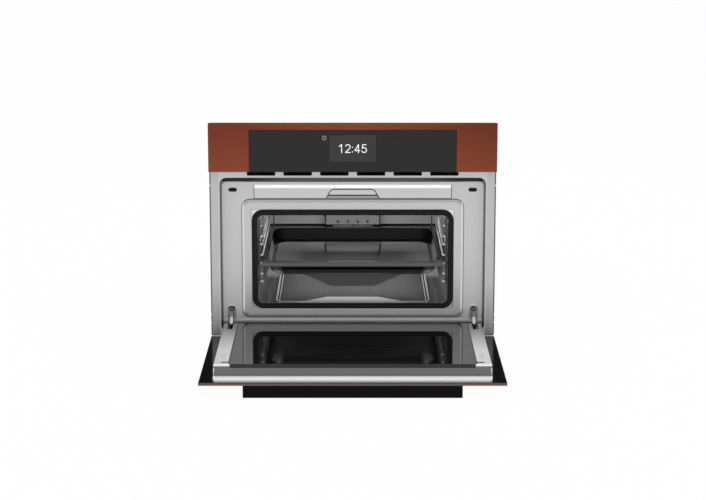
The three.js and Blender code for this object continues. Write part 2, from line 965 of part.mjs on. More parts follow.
function makeFascia() {
  const half = panelGlassWidth / 2;
  const red = plate(
    polygon([
      [-halfFront, fasciaBottom],
      [-half - glassGap, fasciaBottom],
      [-half - glassGap, panelGlassTop + glassGap],
      [half + glassGap, panelGlassTop + glassGap],
      [half + glassGap, fasciaBottom],
      [halfFront, fasciaBottom],
      [halfFront, frontHeight],
      [-halfFront, frontHeight],
    ]),
    glassFront,
    glassBack,
  );
  add("fascia_glass", red, "redGlass");
  const screen = centredOutline(screenWidth, screenBottom, screenTop, screenCorner);
  const screenHole = centredOutline(
    screenWidth + 2 * glassGap,
    screenBottom - glassGap,
    screenTop + glassGap,
    screenCorner + glassGap,
  );
  const black = plate(
    polygon([
      [-half, fasciaBottom],
      [half, fasciaBottom],
      [half, panelGlassTop],
      [-half, panelGlassTop],
    ]),
    glassFront,
    glassBack,
    [screenHole],
  );
  add("control_panel_glass", black, "blackGlass");
  add("display_screen", plate(screen, glassFront, glassBack), "screen");

  const moduleOutline = (grow) =>
    centredOutline(
      screenWidth - 2 * moduleMargin + 2 * grow,
      screenBottom + moduleMargin - grow,
      screenTop - moduleMargin + grow,
      screenCorner,
    );
  const moduleNear = glassBack + seatGap;
  const moduleFar = moduleNear + moduleDepth;
  add("display_module", plate(moduleOutline(0), moduleNear, moduleFar), "blackPlastic");

  const carrierNear = glassBack + seatGap;
  const carrierFar = -seatGap;
  const carrierHalf = halfFront - carrierMargin;
  const carrierOuter = roundedOutline(
    -carrierHalf,
    carrierHalf,
    fasciaBottom + carrierMargin,
    frontHeight - carrierMargin,
    carrierWall,
  );
  const carrierInner = roundedOutline(
    -carrierHalf + carrierWall,
    carrierHalf - carrierWall,
    fasciaBottom + carrierMargin + carrierWall,
    frontHeight - carrierMargin - carrierWall,
    carrierWall,
  );
  const carrier = cut(plate(carrierOuter, carrierNear, carrierFar), [
    plate(carrierInner, carrierNear + carrierWall, carrierFar + overrun),
    plate(moduleOutline(seatGap), carrierNear - overrun, carrierFar + overrun),
  ]);
  add("fascia_carrier", carrier, "blackPlastic");

  const boardNear = moduleFar + seatGap;
  const boardMiddle = (screenBottom + screenTop) / 2;
  const boardBottom = boardMiddle - controlBoardRise / 2;
  const boardTop = boardMiddle + controlBoardRise / 2;
  const boardHalf = controlBoardWidth / 2;
  const circuit = block(
    -boardHalf,
    boardHalf,
    boardNear,
    boardNear + boardThickness,
    boardBottom,
    boardTop,
  );
  const housingFar = sheet + seatGap + controlHousingDepth;
  const posts = [-boardHalf + overrun, boardHalf - overrun].flatMap((x) =>
    [boardBottom + overrun, boardTop - overrun].map((z) =>
      rodBack(x, z, hoseRadius, boardNear, housingFar - sheet - seatGap, smallSides),
    ),
  );
  add("control_board", joined([circuit, ...posts]), "circuit");

  const housingNear = sheet + seatGap;
  const housing = cut(
    block(-panelInside, panelInside, housingNear, housingFar, controlHousingBottom, steelFrontTop),
    [
      block(
        -panelInside + sheet,
        panelInside - sheet,
        housingNear - overrun,
        housingFar - sheet,
        controlHousingBottom + sheet,
        steelFrontTop - sheet,
      ),
    ],
  );
  add("control_housing", housing, "galvanised");
}

// Water tank drawer

function makeTank() {
  const coverFar = tankCoverFront + tankCoverThickness;
  const notch = polygon([
    [-gripBottomWidth / 2, tankCoverBottom - overrun],
    [gripBottomWidth / 2, tankCoverBottom - overrun],
    [gripBottomWidth / 2, tankCoverBottom],
    [gripTopWidth / 2, gripTop],
    [-gripTopWidth / 2, gripTop],
    [-gripBottomWidth / 2, tankCoverBottom],
  ]);
  const cover = cut(
    plate(
      centredOutline(tankCoverWidth, tankCoverBottom, tankCoverTop, sheet),
      tankCoverFront,
      coverFar,
    ),
    [plate(notch, tankCoverFront - overrun, tankCoverFront + gripSunk)],
  );
  const fold = block(
    -gripTopWidth / 2,
    gripTopWidth / 2,
    tankCoverFront + seatGap,
    coverFar,
    tankCoverBottom,
    gripFold,
  );
  add("tank_cover", joined([cover, fold]), "steel");

  const half = tankWidth / 2;
  const far = tankFront + tankLength;
  const tub = cut(block(-half, half, tankFront, far, tankBottom, tankTop), [
    block(
      -half + tankWall,
      half - tankWall,
      tankFront + tankWall,
      far - tankWall,
      tankBottom + tankWall,
      tankTop + overrun,
    ),
  ]);
  const valveHeight = tankBottom + tankHeight / 2;
  const valve = rodBack(
    valveX,
    valveHeight,
    valveRadius,
    far - tankWall / 2,
    bayBack + sheet + seatGap,
    smallSides,
  );
  add("water_tank", joined([tub, valve]), "clearPlastic");
  const lid = block(-half, half, tankFront, far, tankTop + seatGap, lidTop);
  add("tank_lid", lid, "clearPlastic");

  const outer = half + tankSlideGap + sheet;
  const bayBottom = shelfTop + seatGap;
  const bayTop = lidTop + tankSlideGap + sheet;
  const bay = cut(block(-outer, outer, linerFront, bayBack + sheet, bayBottom, bayTop), [
    block(
      -half - tankSlideGap,
      half + tankSlideGap,
      linerFront - overrun,
      bayBack,
      tankBottom - seatGap,
      lidTop + tankSlideGap,
    ),
    rodBack(
      valveX,
      valveHeight,
      valveRadius + seatGap,
      bayBack - overrun,
      bayBack + overrun,
      smallSides,
    ),
  ]);
  add("tank_bay", bay, "galvanised");
}

// Hinges: an arm fixed in the oven, and a cartridge with a pin in the door.

function makeHinges() {
  for (const [word, side] of sides) {
    const x = side * hingeX;
    const half = armThickness / 2;
    const armOutline = [
      ...arc(hingeDepth, hingeHeight, armBoss, 2 * quarter, 4 * quarter, 2 * cornerSteps),
      ...polygon([
        [hingeDepth + armBoss, hingeHeight + armBoss],
        [recessDepth, armRootBottom],
        [armReach, armRootBottom],
        [armReach, armRootTop],
        [recessDepth - armBoss, armRootTop],
        [hingeDepth - armBoss, hingeHeight + 3 * armBoss],
      ]),
    ];
    const bore = ringOutline(hingeDepth, hingeHeight, pinRadius + runningGap, smallSides);
    add("hinge_arm_" + word, beam(armOutline, x - half, x + half, [bore]), "galvanised");

    const pocket = half + seatGap;
    const outer = hingeSlotWidth / 2 + receiverWall;
    const receiver = cut(
      block(
        x - outer,
        x + outer,
        linerFront,
        linerFront + receiverDepth,
        armRootBottom - receiverWall - seatGap,
        armRootTop + receiverWall + seatGap,
      ),
      [
        block(
          x - pocket,
          x + pocket,
          linerFront - overrun,
          armReach + seatGap,
          armRootBottom - seatGap,
          armRootTop + seatGap,
        ),
      ],
    );
    add("hinge_receiver_" + word, receiver, "galvanised");

    const earOutline = [
      ...arc(hingeDepth, hingeHeight, armBoss, 2 * quarter, 4 * quarter, 2 * cornerSteps),
      ...polygon([
        [hingeDepth + armBoss, recessBottom + sheet],
        [cartridgeFront, doorBodyBottom + armBoss],
        [cartridgeFront, cartridgeTop],
        [cartridgeBack, cartridgeTop],
        [cartridgeBack, doorBodyBottom + armBoss],
      ]),
    ];
    const earInner = half + runningGap;
    const earOuter = earInner + earThickness;
    const earBore = ringOutline(hingeDepth, hingeHeight, pinRadius + seatGap / 2, smallSides);
    const ears = [-1, 1].map((direction) => {
      const [left, right] = sideSpan(direction, earInner, earOuter);
      return beam(earOutline, x + left, x + right, [earBore]);
    });
    const seat = doorInnerDepth - sheet - seatGap;
    const web = block(
      x - earOuter,
      x + earOuter,
      cartridgeBack,
      seat,
      doorSlotTop + armBoss,
      cartridgeTop,
    );
    const channel = block(
      x - earInner,
      x + earInner,
      cartridgeBack + earThickness,
      seat - earThickness,
      doorSlotTop + armBoss + earThickness,
      cartridgeTop + overrun,
    );
    add("hinge_cartridge_" + word, cut(joined([...ears, web]), [channel]), "galvanised", door);

    const pin = rodAcross(
      hingeDepth,
      hingeHeight,
      pinRadius,
      x - earOuter - seatGap,
      x + earOuter + seatGap,
      smallSides,
    );
    add("hinge_pin_" + word, pin, "chrome", door);
  }
}

// Door

function makeDoor() {
  const half = doorWidth / 2;
  const bodyNear = glassBack + seatGap;
  const glass = block(
    -halfFront,
    halfFront,
    glassFront,
    glassBack,
    doorGlassBottom,
    doorGlassTop,
  );
  add("door_outer_glass", glass, "redGlass", door);

  const trimBottom = doorTopSlantEnd - trimLap;
  const columnTop = trimBottom - seatGap;
  const stripInner = half - columnWidth;
  for (const [word, side] of sides) {
    const [left, right] = sideSpan(side, stripInner, half);
    const [hollowLeft, hollowRight] = sideSpan(side, stripInner + sheet, half - sheet);
    const slotX = side * hingeX;
    const slotHalf = armThickness / 2 + runningGap + earThickness + seatGap;
    const column = cut(block(left, right, bodyNear, doorInnerDepth, doorBodyBottom, columnTop), [
      block(
        hollowLeft,
        hollowRight,
        bodyNear - overrun,
        doorInnerDepth - sheet,
        doorBodyBottom - overrun,
        columnTop + overrun,
      ),
      block(
        slotX - slotHalf,
        slotX + slotHalf,
        bodyNear - overrun,
        doorInnerDepth + overrun,
        doorBodyBottom - overrun,
        doorSlotTop,
      ),
      block(
        side * columnHoleX - columnHoleWidth / 2,
        side * columnHoleX + columnHoleWidth / 2,
        doorInnerDepth - overrun,
        doorInnerDepth + overrun,
        catchHeight - columnHoleHeight / 2,
        catchHeight + columnHoleHeight / 2,
      ),
    ]);
    add("door_column_" + word, column, "steel", door);
  }

  const slantTop = doorBodyTop;
  const outerProfile = polygon([
    [bodyNear, trimBottom],
    [doorInnerDepth, trimBottom],
    [doorInnerDepth, doorTopSlantEnd],
    [0, slantTop],
    [doorLedgeDepth, slantTop],
    [doorLipDepth, doorLipTop],
    [bodyNear, doorLipTop],
  ]);
  const innerProfile = polygon([
    [bodyNear + sheet, trimBottom - overrun],
    [doorInnerDepth - sheet, trimBottom - overrun],
    [doorInnerDepth - sheet, doorTopSlantEnd - sheet],
    [-sheet / 2, slantTop - sheet],
    [doorLedgeDepth - sheet, slantTop - sheet],
    [doorLipDepth - sheet / 2, doorLipTop - 2 * sheet],
    [bodyNear + sheet, doorLipTop - 2 * sheet],
  ]);
  const rounded = (near, far, top) =>
    plate(centredOutline(doorWidth, doorBodyBottom, top, trimCorner), near, far);
  const silhouette = joined([
    rounded(bodyNear - overrun, doorLedgeDepth, doorLipTop),
    rounded(doorLedgeDepth - trimLap, doorInnerDepth + overrun, slantTop),
  ]);
  const trim = cut(beam(outerProfile, -doorWidth, doorWidth).intersect(silhouette), [
    beam(innerProfile, -half + sheet, half - sheet),
  ]);
  add("door_top_trim", trim, "steel", door);

  const glassHalf = stripInner - glassGap;
  const innerNear = doorInnerDepth - innerGlassThickness;
  const innerGlass = block(
    -glassHalf,
    glassHalf,
    innerNear,
    doorInnerDepth,
    doorBodyBottom,
    columnTop,
  );
  add("door_inner_glass", innerGlass, "clearGlass", door);
  const bottomTrim = cut(
    block(
      -glassHalf,
      glassHalf,
      bodyNear,
      innerNear - seatGap,
      doorBodyBottom,
      doorBodyBottom + bottomTrimHeight,
    ),
    [
      block(
        -glassHalf + sheet,
        glassHalf - sheet,
        bodyNear + sheet,
        innerNear - seatGap - sheet,
        doorBodyBottom + sheet,
        doorBodyBottom + bottomTrimHeight + overrun,
      ),
    ],
  );
  add("door_bottom_trim", bottomTrim, "galvanised", door);
  const middleNear = innerNear / 2 - innerGlassThickness;
  const middleGlass = block(
    -glassHalf,
    glassHalf,
    middleNear,
    middleNear + innerGlassThickness,
    doorBodyBottom + bottomTrimHeight + seatGap,
    columnTop - middleGlassMargin,
  );
  add("door_middle_glass", middleGlass, "clearGlass", door);

  const handleFar = glassFront - seatGap;
  const handleNear = glassFront - handleStand;
  const handleBottom = doorGlassTop - handleHeight;
  const handleHalf = handleWidth / 2;
  const handle = cut(
    block(-handleHalf, handleHalf, handleNear, handleFar, handleBottom, doorGlassTop),
    [
      block(
        -handleHalf + handleEnd,
        handleHalf - handleEnd,
        handleNear + handleLip,
        handleFar - handleFlange,
        handleBottom - overrun,
        doorGlassTop - handleTopThickness,
      ),
    ],
  );
  add("door_handle", handle, "blackPlastic", door);
}

// Casing

function makeCasing() {
  const baseNear = sheet + seatGap;
  const upturnNear = linerFront;
  const inner = panelInside - seatGap;
  const channel = polygon([
    [-inner, 0],
    [inner, 0],
    [inner, baseUpturn],
    [inner - sheet, baseUpturn],
    [inner - sheet, sheet],
    [-inner + sheet, sheet],
    [-inner + sheet, baseUpturn],
    [-inner, baseUpturn],
  ]);
  const tongue = block(-inner + sheet, inner - sheet, baseNear, upturnNear + overrun, 0, sheet);
  const base = joined([plate(channel, upturnNear, rearInside), tongue]);
  add("base_pan", base, "galvanised");
  for (const [word, side] of sides) {
    const [left, right] = sideSpan(side, panelInside, halfCase);
    const panel = block(left, right, upturnNear, rearInside, sheet, caseTop - sheet - seatGap);
    add("side_panel_" + word, panel, "galvanised");
  }
  const rear = cut(block(-halfCase, halfCase, caseDepth - sheet, caseDepth, 0, caseTop), [
    rodBack(
      inletX,
      inletHeight,
      inletRadius + seatGap,
      caseDepth - overrun,
      caseDepth + overrun,
    ),
  ]);
  add("rear_panel", rear, "galvanised");
  const topNear = sheet + seatGap + controlHousingDepth + seatGap;
  const top = block(-halfCase, halfCase, topNear, rearInside, caseTop - sheet, caseTop);
  add("top_cover", top, "galvanised");
  const shelf = block(
    -inner,
    inner,
    linerFront,
    shelfBack,
    shelfHeight,
    shelfTop,
  );
  add("component_shelf", shelf, "galvanised");
}

// Cooling air: a blower behind the tank, and a flat duct to the slots under the fascia.

function makeDuct() {
  const near = sheet + seatGap;
  const far = blowerNeckFront - seatGap;
  const side = (shrink, over) =>
    polygon([
      [near - over, ductFrontBottom + shrink],
      [linerFront, ductFrontBottom + shrink],
      [ductKneeDepth, ductKneeBottom + shrink],
      [far, ductBackBottom + shrink],
      [far + over, ductBackBottom + shrink],
      [far + over, ductTop - shrink],
      [near - over, ductTop - shrink],
    ]);
  const plan = (shrink, over) => {
    const frontHalf = ductFrontWidth / 2 - shrink;
    const backHalf = ductBackWidth / 2 - shrink;
    return polygon([
      [-frontHalf, near - over],
      [frontHalf, near - over],
      [frontHalf, linerFront],
      [backHalf, far - over],
      [backHalf, far + over],
      [-backHalf, far + over],
      [-backHalf, far - over],
      [-frontHalf, linerFront],
    ]);
  };
  const wide = ductFrontWidth;
  const outer = beam(side(0, 0), -wide, wide).intersect(
    board(plan(0, overrun), shelfHeight, caseTop),
  );
  const inner = beam(side(sheet, overrun), -wide, wide).intersect(
    board(plan(sheet, 2 * overrun), shelfHeight, caseTop),
  );
  add("air_duct", cut(outer, [inner]), "galvanised");
}

function makeBlower() {
  const scroll = (shrink, bottom, top) => {
    const radius = blowerRadius - shrink;
    const neck = blowerNeckWidth / 2 - shrink;
    return joined([
      rodUp(0, blowerDepth, radius, bottom, top, 2 * roundSides),
      block(-neck, neck, blowerNeckFront, blowerDepth, bottom, top),
    ]);
  };
  const neckHalf = blowerNeckWidth / 2 - blowerWall;
  const housing = cut(scroll(0, blowerBottom, blowerTop), [
    scroll(blowerWall, blowerBottom + blowerWall, blowerTop - blowerWall),
    block(
      -neckHalf,
      neckHalf,
      blowerNeckFront - overrun,
      blowerDepth,
      blowerBottom + blowerWall,
      blowerTop - blowerWall,
    ),
    rodUp(0, blowerDepth, blowerInlet, blowerTop - overrun, blowerTop + overrun),
    rodUp(
      0,
      blowerDepth,
      wheelShaft + runningGap,
      blowerBottom - overrun,
      blowerBottom + overrun,
      smallSides,
    ),
  ]);
  add("cooling_fan_housing", housing, "blackPlastic");

  const motorTop = blowerBottom - seatGap;
  const motor = rodUp(0, blowerDepth, blowerMotorRadius, shelfTop + seatGap, motorTop);
  add("cooling_fan_motor", motor, "castMetal");

  const wheelBottom = blowerBottom + blowerWall + wheelClearance;
  const wheelTop = blowerTop - blowerWall - wheelClearance;
  const blades = Array.from({ length: wheelBlades }, (_, i) => {
    const angle = (4 * quarter * i) / wheelBlades;
    const geometry = new THREE.BoxGeometry(
      wheelRadius - wheelInner,
      wheelBladeThickness,
      wheelTop - wheelBottom,
    );
    geometry.translate((wheelRadius + wheelInner) / 2, 0, (wheelTop + wheelBottom) / 2);
    geometry.rotateZ(angle);
    geometry.translate(0, frontY + blowerDepth, 0);
    return solidOf(geometry);
  });
  const ring = cut(
    rodUp(0, blowerDepth, wheelRadius, wheelTop - wheelPlate, wheelTop, 2 * roundSides),
    [rodUp(0, blowerDepth, wheelInner, wheelBottom, wheelTop + overrun, 2 * roundSides)],
  );
  const wheel = joined([
    rodUp(0, blowerDepth, wheelRadius, wheelBottom, wheelBottom + wheelPlate, 2 * roundSides),
    rodUp(0, blowerDepth, wheelHub, wheelBottom, wheelBottom + wheelHub),
    rodUp(0, blowerDepth, wheelShaft, blowerBottom, wheelBottom + wheelHub, smallSides),
    ...blades,
    ring,
  ]);
  add("cooling_fan_impeller", wheel, "greyPlastic");
}

// Steam: pump, hose, generator and the pipe into the chamber's back wall

function makeSteam() {
  const bottom = shelfTop + seatGap;
  const half = generatorWidth / 2;
  const far = generatorFront + generatorDepth;
  const left = generatorX - half;
  const generator = board(
    roundedOutline(left, generatorX + half, generatorFront, far, generatorCorner),
    bottom,
    generatorTop,
  );
  add("steam_generator", generator, "castMetal");

  const pipe = tube(
    [
      [generatorX, far + seatGap, steamPipeLeave],
      [generatorX, far + 4 * steamPipeRadius, steamPipeLeave],
      [generatorX - 2 * steamPipeRadius, steamPipeBack, shelfHeight - 2 * steamPipeRadius],
      [steamPipeX, steamPipeBack, steamPipeHeight + steamPipeRise],
      [steamPipeX, insulationBack + 2 * steamPipeRadius, steamPipeHeight],
      [steamPipeX, insulationBack, steamPipeHeight],
      [steamPipeX, linerBack, steamPipeHeight],
    ],
    steamPipeRadius,
    steamPipeSteps,
  );
  add("steam_pipe", pipe, "chrome");

  const pumpNear = bayBack + sheet + 2 * seatGap;
  const pumpLeft = valveX - pumpWidth / 2;
  const pumpRight = valveX + pumpWidth / 2;
  const pump = board(
    roundedOutline(pumpLeft, pumpRight, pumpNear, pumpNear + pumpDepth, pumpCorner),
    bottom,
    pumpTop,
  );
  add("water_pump", pump, "blackPlastic");

  const hose = tube(
    [
      [pumpRight + seatGap, hoseDepth, hoseHeight],
      [pumpRight + 4 * hoseRadius, hoseDepth, hoseHeight],
      [0, hoseDepth, hoseHeight - hoseDip],
      [left - 4 * hoseRadius, hoseDepth, hoseHeight],
      [left - seatGap, hoseDepth, hoseHeight],
    ],
    hoseRadius,
    hoseSteps,
  );
  add("pressure_hose", hose, "rubber");
}

// Electrics

function makeElectrics() {
  const bottom = shelfTop + seatGap;
  const lift = bottom + powerBoardLift;
  const circuit = block(
    powerBoardLeft,
    powerBoardRight,
    powerBoardFront,
    powerBoardBack,
    lift,
    lift + boardThickness,
  );
  const inset = powerBoardLift;
  const posts = [powerBoardLeft + inset, powerBoardRight - inset].flatMap((x) =>
    [powerBoardFront + inset, powerBoardBack - inset].map((depth) =>
      rodUp(x, depth, inset / 2, bottom, lift + boardThickness, smallSides),
    ),
  );
  const relayWidth = (powerBoardRight - powerBoardLeft) / 2 - inset;
  const relays = Array.from({ length: relayCount }, (_, i) => {
    const near = powerBoardFront + inset + ((powerBoardBack - powerBoardFront) * i) / relayCount;
    const left = powerBoardLeft + inset;
    return block(left, left + relayWidth, near, near + relayWidth, lift, lift + relayWidth);
  });
  add("power_board", joined([circuit, ...posts, ...relays]), "circuit");

  const flangeFar = caseDepth - sheet - seatGap;
  const inlet = cut(
    joined([
      rodBack(inletX, inletHeight, inletRadius, flangeFar - inletDepth, caseDepth, roundSides),
      rodBack(inletX, inletHeight, inletFlangeRadius, flangeFar - inletFlange, flangeFar),
    ]),
    [
      rodBack(
        inletX,
        inletHeight,
        inletBore,
        flangeFar - inletDepth + inletFlange,
        caseDepth + overrun,
        smallSides,
      ),
    ],
  );
  add("mains_inlet", inlet, "blackPlastic");
}

// Hot air: a fan wheel and ring heater under the cover, and the motor behind the insulation

function makeHotAir() {
  const wheelNear = baffleDepth + thinSheet + seatGap + thinSheet;
  const wheelFar = wheelNear + hotAirWidth;
  const blades = Array.from({ length: hotAirBlades }, (_, i) => {
    const geometry = new THREE.BoxGeometry(
      hotAirRadius - hotAirHub / 2,
      hotAirWidth,
      hotAirBladeThickness,
    );
    geometry.translate((hotAirRadius + hotAirHub / 2) / 2, 0, 0);
    geometry.rotateY((4 * quarter * i) / hotAirBlades);
    geometry.translate(0, frontY + (wheelNear + wheelFar) / 2, hotAirHeight);
    return solidOf(geometry);
  });
  const plateNear = wheelFar - thinSheet;
  const wheel = joined([
    rodBack(0, hotAirHeight, hotAirHub, wheelNear, wheelFar),
    rodBack(0, hotAirHeight, hotAirRadius, plateNear, wheelFar, 2 * roundSides),
    rodBack(0, hotAirHeight, hotAirShaft, wheelNear, insulationBack, smallSides),
    ...blades,
  ]);
  add("hot_air_impeller", wheel, "steel");

  const heater = new THREE.TorusGeometry(heaterRadius, heaterTube, smallSides, 2 * roundSides);
  heater.rotateX(quarter);
  heater.translate(0, frontY + (wheelNear + wheelFar) / 2, hotAirHeight);
  const leadHeight = hotAirHeight - heaterRadius;
  const lead = rodBack(
    0,
    leadHeight,
    heaterTube / 2,
    (wheelNear + wheelFar) / 2,
    linerBack - seatGap,
    smallSides,
  );
  add("ring_heater", joined([solidOf(heater), lead]), "castMetal");

  const motorNear = insulationBack + seatGap;
  const motor = joined([
    rodBack(0, hotAirHeight, motorRadius, motorNear, motorNear + motorLength),
    block(
      -motorPlateWidth / 2,
      motorPlateWidth / 2,
      motorNear,
      motorNear + motorPlate,
      hotAirHeight - motorPlateHeight / 2,
      hotAirHeight + motorPlateHeight / 2,
    ),
  ]);
  add("hot_air_motor", motor, "castMetal");
}

function makeLamp() {
  const lensTop = cavityCeiling - seatGap;
  const lens = rodUp(lampX, lampDepth, lensRadius, lensTop - lensThickness, lensTop);
  add("lamp_lens", lens, "clearGlass");
  const housing = rodUp(lampX, lampDepth, lampRadius, cavityCeiling, shelfHeight - seatGap);
  add("lamp_housing", housing, "castMetal");
}

makeSteelFront();
makeCatches();
makeSeal();
makeLiner();
makeInsulation();
makeBaffle();
makeFloorPan();
makeRacks();
makeTray();
makeFascia();
makeTank();
makeHinges();
makeDoor();
makeCasing();
makeDuct();
makeBlower();
makeSteam();
makeElectrics();
makeHotAir();
makeLamp();

export default oven;
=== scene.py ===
# %% [markdown]
# # A compact steam oven
# The oven stands in its own frame: X runs across the front, Y from front to back and Z up.
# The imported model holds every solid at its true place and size. This lesson gives each one its
# finish, and replaces the plain solids that show with pressed sheet metal, bent wire and ground
# glass. The shapes are worked out in millimetres, as on a drawing, and placed in metres.

# %% Load the fixed frame
import math
from functools import cached_property

import bmesh
import bpy
import numpy as np
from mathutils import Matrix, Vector


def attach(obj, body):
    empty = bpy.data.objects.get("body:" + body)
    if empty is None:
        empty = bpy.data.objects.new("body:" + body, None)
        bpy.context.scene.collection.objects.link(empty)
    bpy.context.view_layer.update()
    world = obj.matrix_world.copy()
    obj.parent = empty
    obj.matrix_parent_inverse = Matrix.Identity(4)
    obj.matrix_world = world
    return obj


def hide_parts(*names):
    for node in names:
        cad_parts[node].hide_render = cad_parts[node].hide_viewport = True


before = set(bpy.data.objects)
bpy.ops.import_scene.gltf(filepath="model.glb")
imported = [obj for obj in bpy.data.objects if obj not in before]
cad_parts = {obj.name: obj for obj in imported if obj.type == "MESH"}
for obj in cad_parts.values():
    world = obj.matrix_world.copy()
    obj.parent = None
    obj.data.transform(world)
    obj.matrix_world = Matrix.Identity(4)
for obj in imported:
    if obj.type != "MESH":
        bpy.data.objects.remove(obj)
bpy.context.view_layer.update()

# %% [markdown]
# ## Camera
# The photograph was taken from well in front of the oven and a little above it, with a long
# lens. A camera that looks down by 11 degrees sees the same face. A small shift moves the
# picture up the frame without turning the camera.

# %% Camera
LENS, LOOKS_DOWN, STANDS = 94.06, 10.774, (0.00062, -4.0411, 1.0204)


def linked(name, data):
    """An object in the scene for these data."""
    made = bpy.data.objects.new(name, data)
    bpy.context.scene.collection.objects.link(made)
    return made


camera_data = bpy.data.cameras.new("front_camera")
camera_data.sensor_fit = "HORIZONTAL"
camera_data.sensor_width = 36
camera_data.lens = LENS
camera_data.shift_y = -0.08
camera = linked("front_camera", camera_data)
camera.location = STANDS
camera.rotation_euler = (math.radians(90 - LOOKS_DOWN), 0, 0)
bpy.context.scene.camera = camera
print("camera stands at", STANDS, "and looks down by", LOOKS_DOWN, "degrees")

# %% [markdown]
# ## From drawing to place
# Pressed and bent pieces are easiest to describe as on the workshop drawing, in millimetres:
# X, depth behind the steel front's face, and height. What lies in front of that face, such as
# the open door, has a negative depth.

# %% Places
FRONT_DEPTH = 274


def in_oven(points):
    """Millimetres (x, depth, z) to metres: y = depth - 274."""
    return (np.asarray(points, float) - [0, FRONT_DEPTH, 0]) * 0.001


# %% [markdown]
# ## Outlines and sections
# Almost every part of an oven is a rounded rectangle that changes as it goes deeper: a face, a
# recess, a seat, an opening. Each such outline has the same number of points, so the surface
# between two of them is a plain grid. Where the surface turns, the real sheet has a bend
# radius, and a quadratic curve between the two flat parts gives it.

# %% Outlines
CORNER_STEPS = 7


def rounded_corners(corners, radius):
    """Four corners (right low, right high, left high, left low) with rounded ends.

    Point = centre + radius (cos a, sin a), a quarter turn at each corner, anticlockwise.
    """
    corners = np.asarray(corners, float)
    inward = np.array([[-1, 1], [-1, -1], [1, -1], [1, 1]]) * radius
    starts = np.array([-0.5, 0, 0.5, 1]) * math.pi
    angles = starts[:, None] + np.linspace(0, math.pi / 2, CORNER_STEPS + 1)
    turns = np.stack([np.cos(angles), np.sin(angles)], -1) * radius
    return ((corners + inward)[:, None] + turns).reshape(-1, 2)


def rectangle(left, right, low, high, radius):
    """A rounded rectangle, anticlockwise."""
    return rounded_corners([[right, low], [right, high], [left, high], [left, low]], radius)


def full_turn(sides):
    """Angles in radians, one for each side."""
    return np.arange(sides) / sides * 2 * math.pi


def disc(x, height, radius, sides=32):
    """Centre + radius (cos a, sin a)."""
    angles = full_turn(sides)
    return np.stack([x + radius * np.cos(angles), height + radius * np.sin(angles)], -1)


def surface(x, depth, height):
    """Points (x, depth, height), each of the three stretched to the size of the grid."""
    return np.stack(np.broadcast_arrays(x, depth, height), -1)


def facing(outline, depth):
    """An outline of x and z, stood up at one depth."""
    return surface(outline[:, 0], depth, outline[:, 1])


def lying(outline, height):
    """An outline of x and depth, laid at one height."""
    return surface(*outline.T, height)


def pressed(stations, radii, steps=5):
    """Carries an outline through stations and rounds each turn between them.

    Between A and C, which lie a radius before and after the turn B, the surface is
    (1 - t)^2 A + 2 t (1 - t) B + t^2 C.
    """
    t = np.linspace(0, 1, steps)[:, None, None]
    rows = [stations[0][None]]
    for before, turn, after, radius in zip(stations, stations[1:], stations[2:], radii):
        ends = []
        for other in (before, after):
            way = other - turn
            length = np.maximum(np.linalg.norm(way, axis=1, keepdims=True), 1e-6)
            ends.append(turn + way * np.minimum(radius / length, 0.45))
        rows.append((1 - t) ** 2 * ends[0] + 2 * t * (1 - t) * turn + t**2 * ends[1])
    rows.append(stations[-1][None])
    return np.concatenate(rows)


# %% [markdown]
# ## From grids to meshes
# A shape collects grids of points. Neighbouring rows are joined by quads, worked out for the
# whole grid at once. Sheet metal gets its thickness from Solidify, and holes are cut by a
# Boolean with one mesh that holds all the punches, as a press tool would.

# %% Meshes
def grid_faces(rows, columns, closed, start):
    """Quads of a grid: point (i, j) has the number start + i * columns + j."""
    i, j = np.meshgrid(np.arange(rows - 1), np.arange(columns - (not closed)), indexing="ij")
    step = (j + 1) % columns
    quads = [i * columns + j, i * columns + step, (i + 1) * columns + step, (i + 1) * columns + j]
    return np.stack(quads, -1).reshape(-1, 4) + start


class Shape:
    """Surfaces in millimetres that become one mesh."""

    def __init__(self):
        self.points, self.faces, self.count = [], [], 0

    def grid(self, points, closed=False, caps="", flip=False):
        rows, columns = points.shape[:2]
        faces = grid_faces(rows, columns, closed, self.count)
        self.faces += (faces[:, ::-1] if flip else faces).tolist()
        first = self.count + np.arange(columns)
        last = first + (rows - 1) * columns
        if "first" in caps:
            self.faces.append((first if flip else first[::-1]).tolist())
        if "last" in caps:
            self.faces.append((last[::-1] if flip else last).tolist())
        self.points.append(points.reshape(-1, 3))
        self.count += rows * columns
        return self

    def solid(self, points):
        """Closed rows with a cap at each end."""
        return self.grid(points, True, "first last")

    def prism(self, outline, start, end, stand=facing):
        """A closed punch: an outline carried from one depth, or height, to another."""
        return self.solid(np.stack([stand(outline, start), stand(outline, end)]))


def new_object(name, shape):
    mesh = bpy.data.meshes.new(name)
    mesh.from_pydata(in_oven(np.concatenate(shape.points)).tolist(), [], shape.faces)
    return linked(name, mesh)


def closed_piece(name, shape, merged=1e-6):
    """A closed shape: doubles are merged and every face is turned outwards."""
    made = new_object(name, shape)
    work = bmesh.new()
    work.from_mesh(made.data)
    bmesh.ops.remove_doubles(work, verts=work.verts, dist=merged)
    bmesh.ops.recalc_face_normals(work, faces=work.faces)
    work.to_mesh(made.data)
    work.free()
    return made


def settled(made):
    """Applies the modifiers."""
    bpy.context.view_layer.update()
    graph = bpy.context.evaluated_depsgraph_get()
    shaped = bpy.data.meshes.new_from_object(made.evaluated_get(graph), depsgraph=graph)
    made.modifiers.clear()
    made.data = shaped
    return made


def sheet_piece(name, shape, thickness):
    """A sheet whose thickness lies behind the face that shows."""
    made = new_object(name, shape)
    solid = made.modifiers.new("sheet", "SOLIDIFY")
    solid.thickness = thickness * 0.001
    solid.offset = -1
    return settled(made)


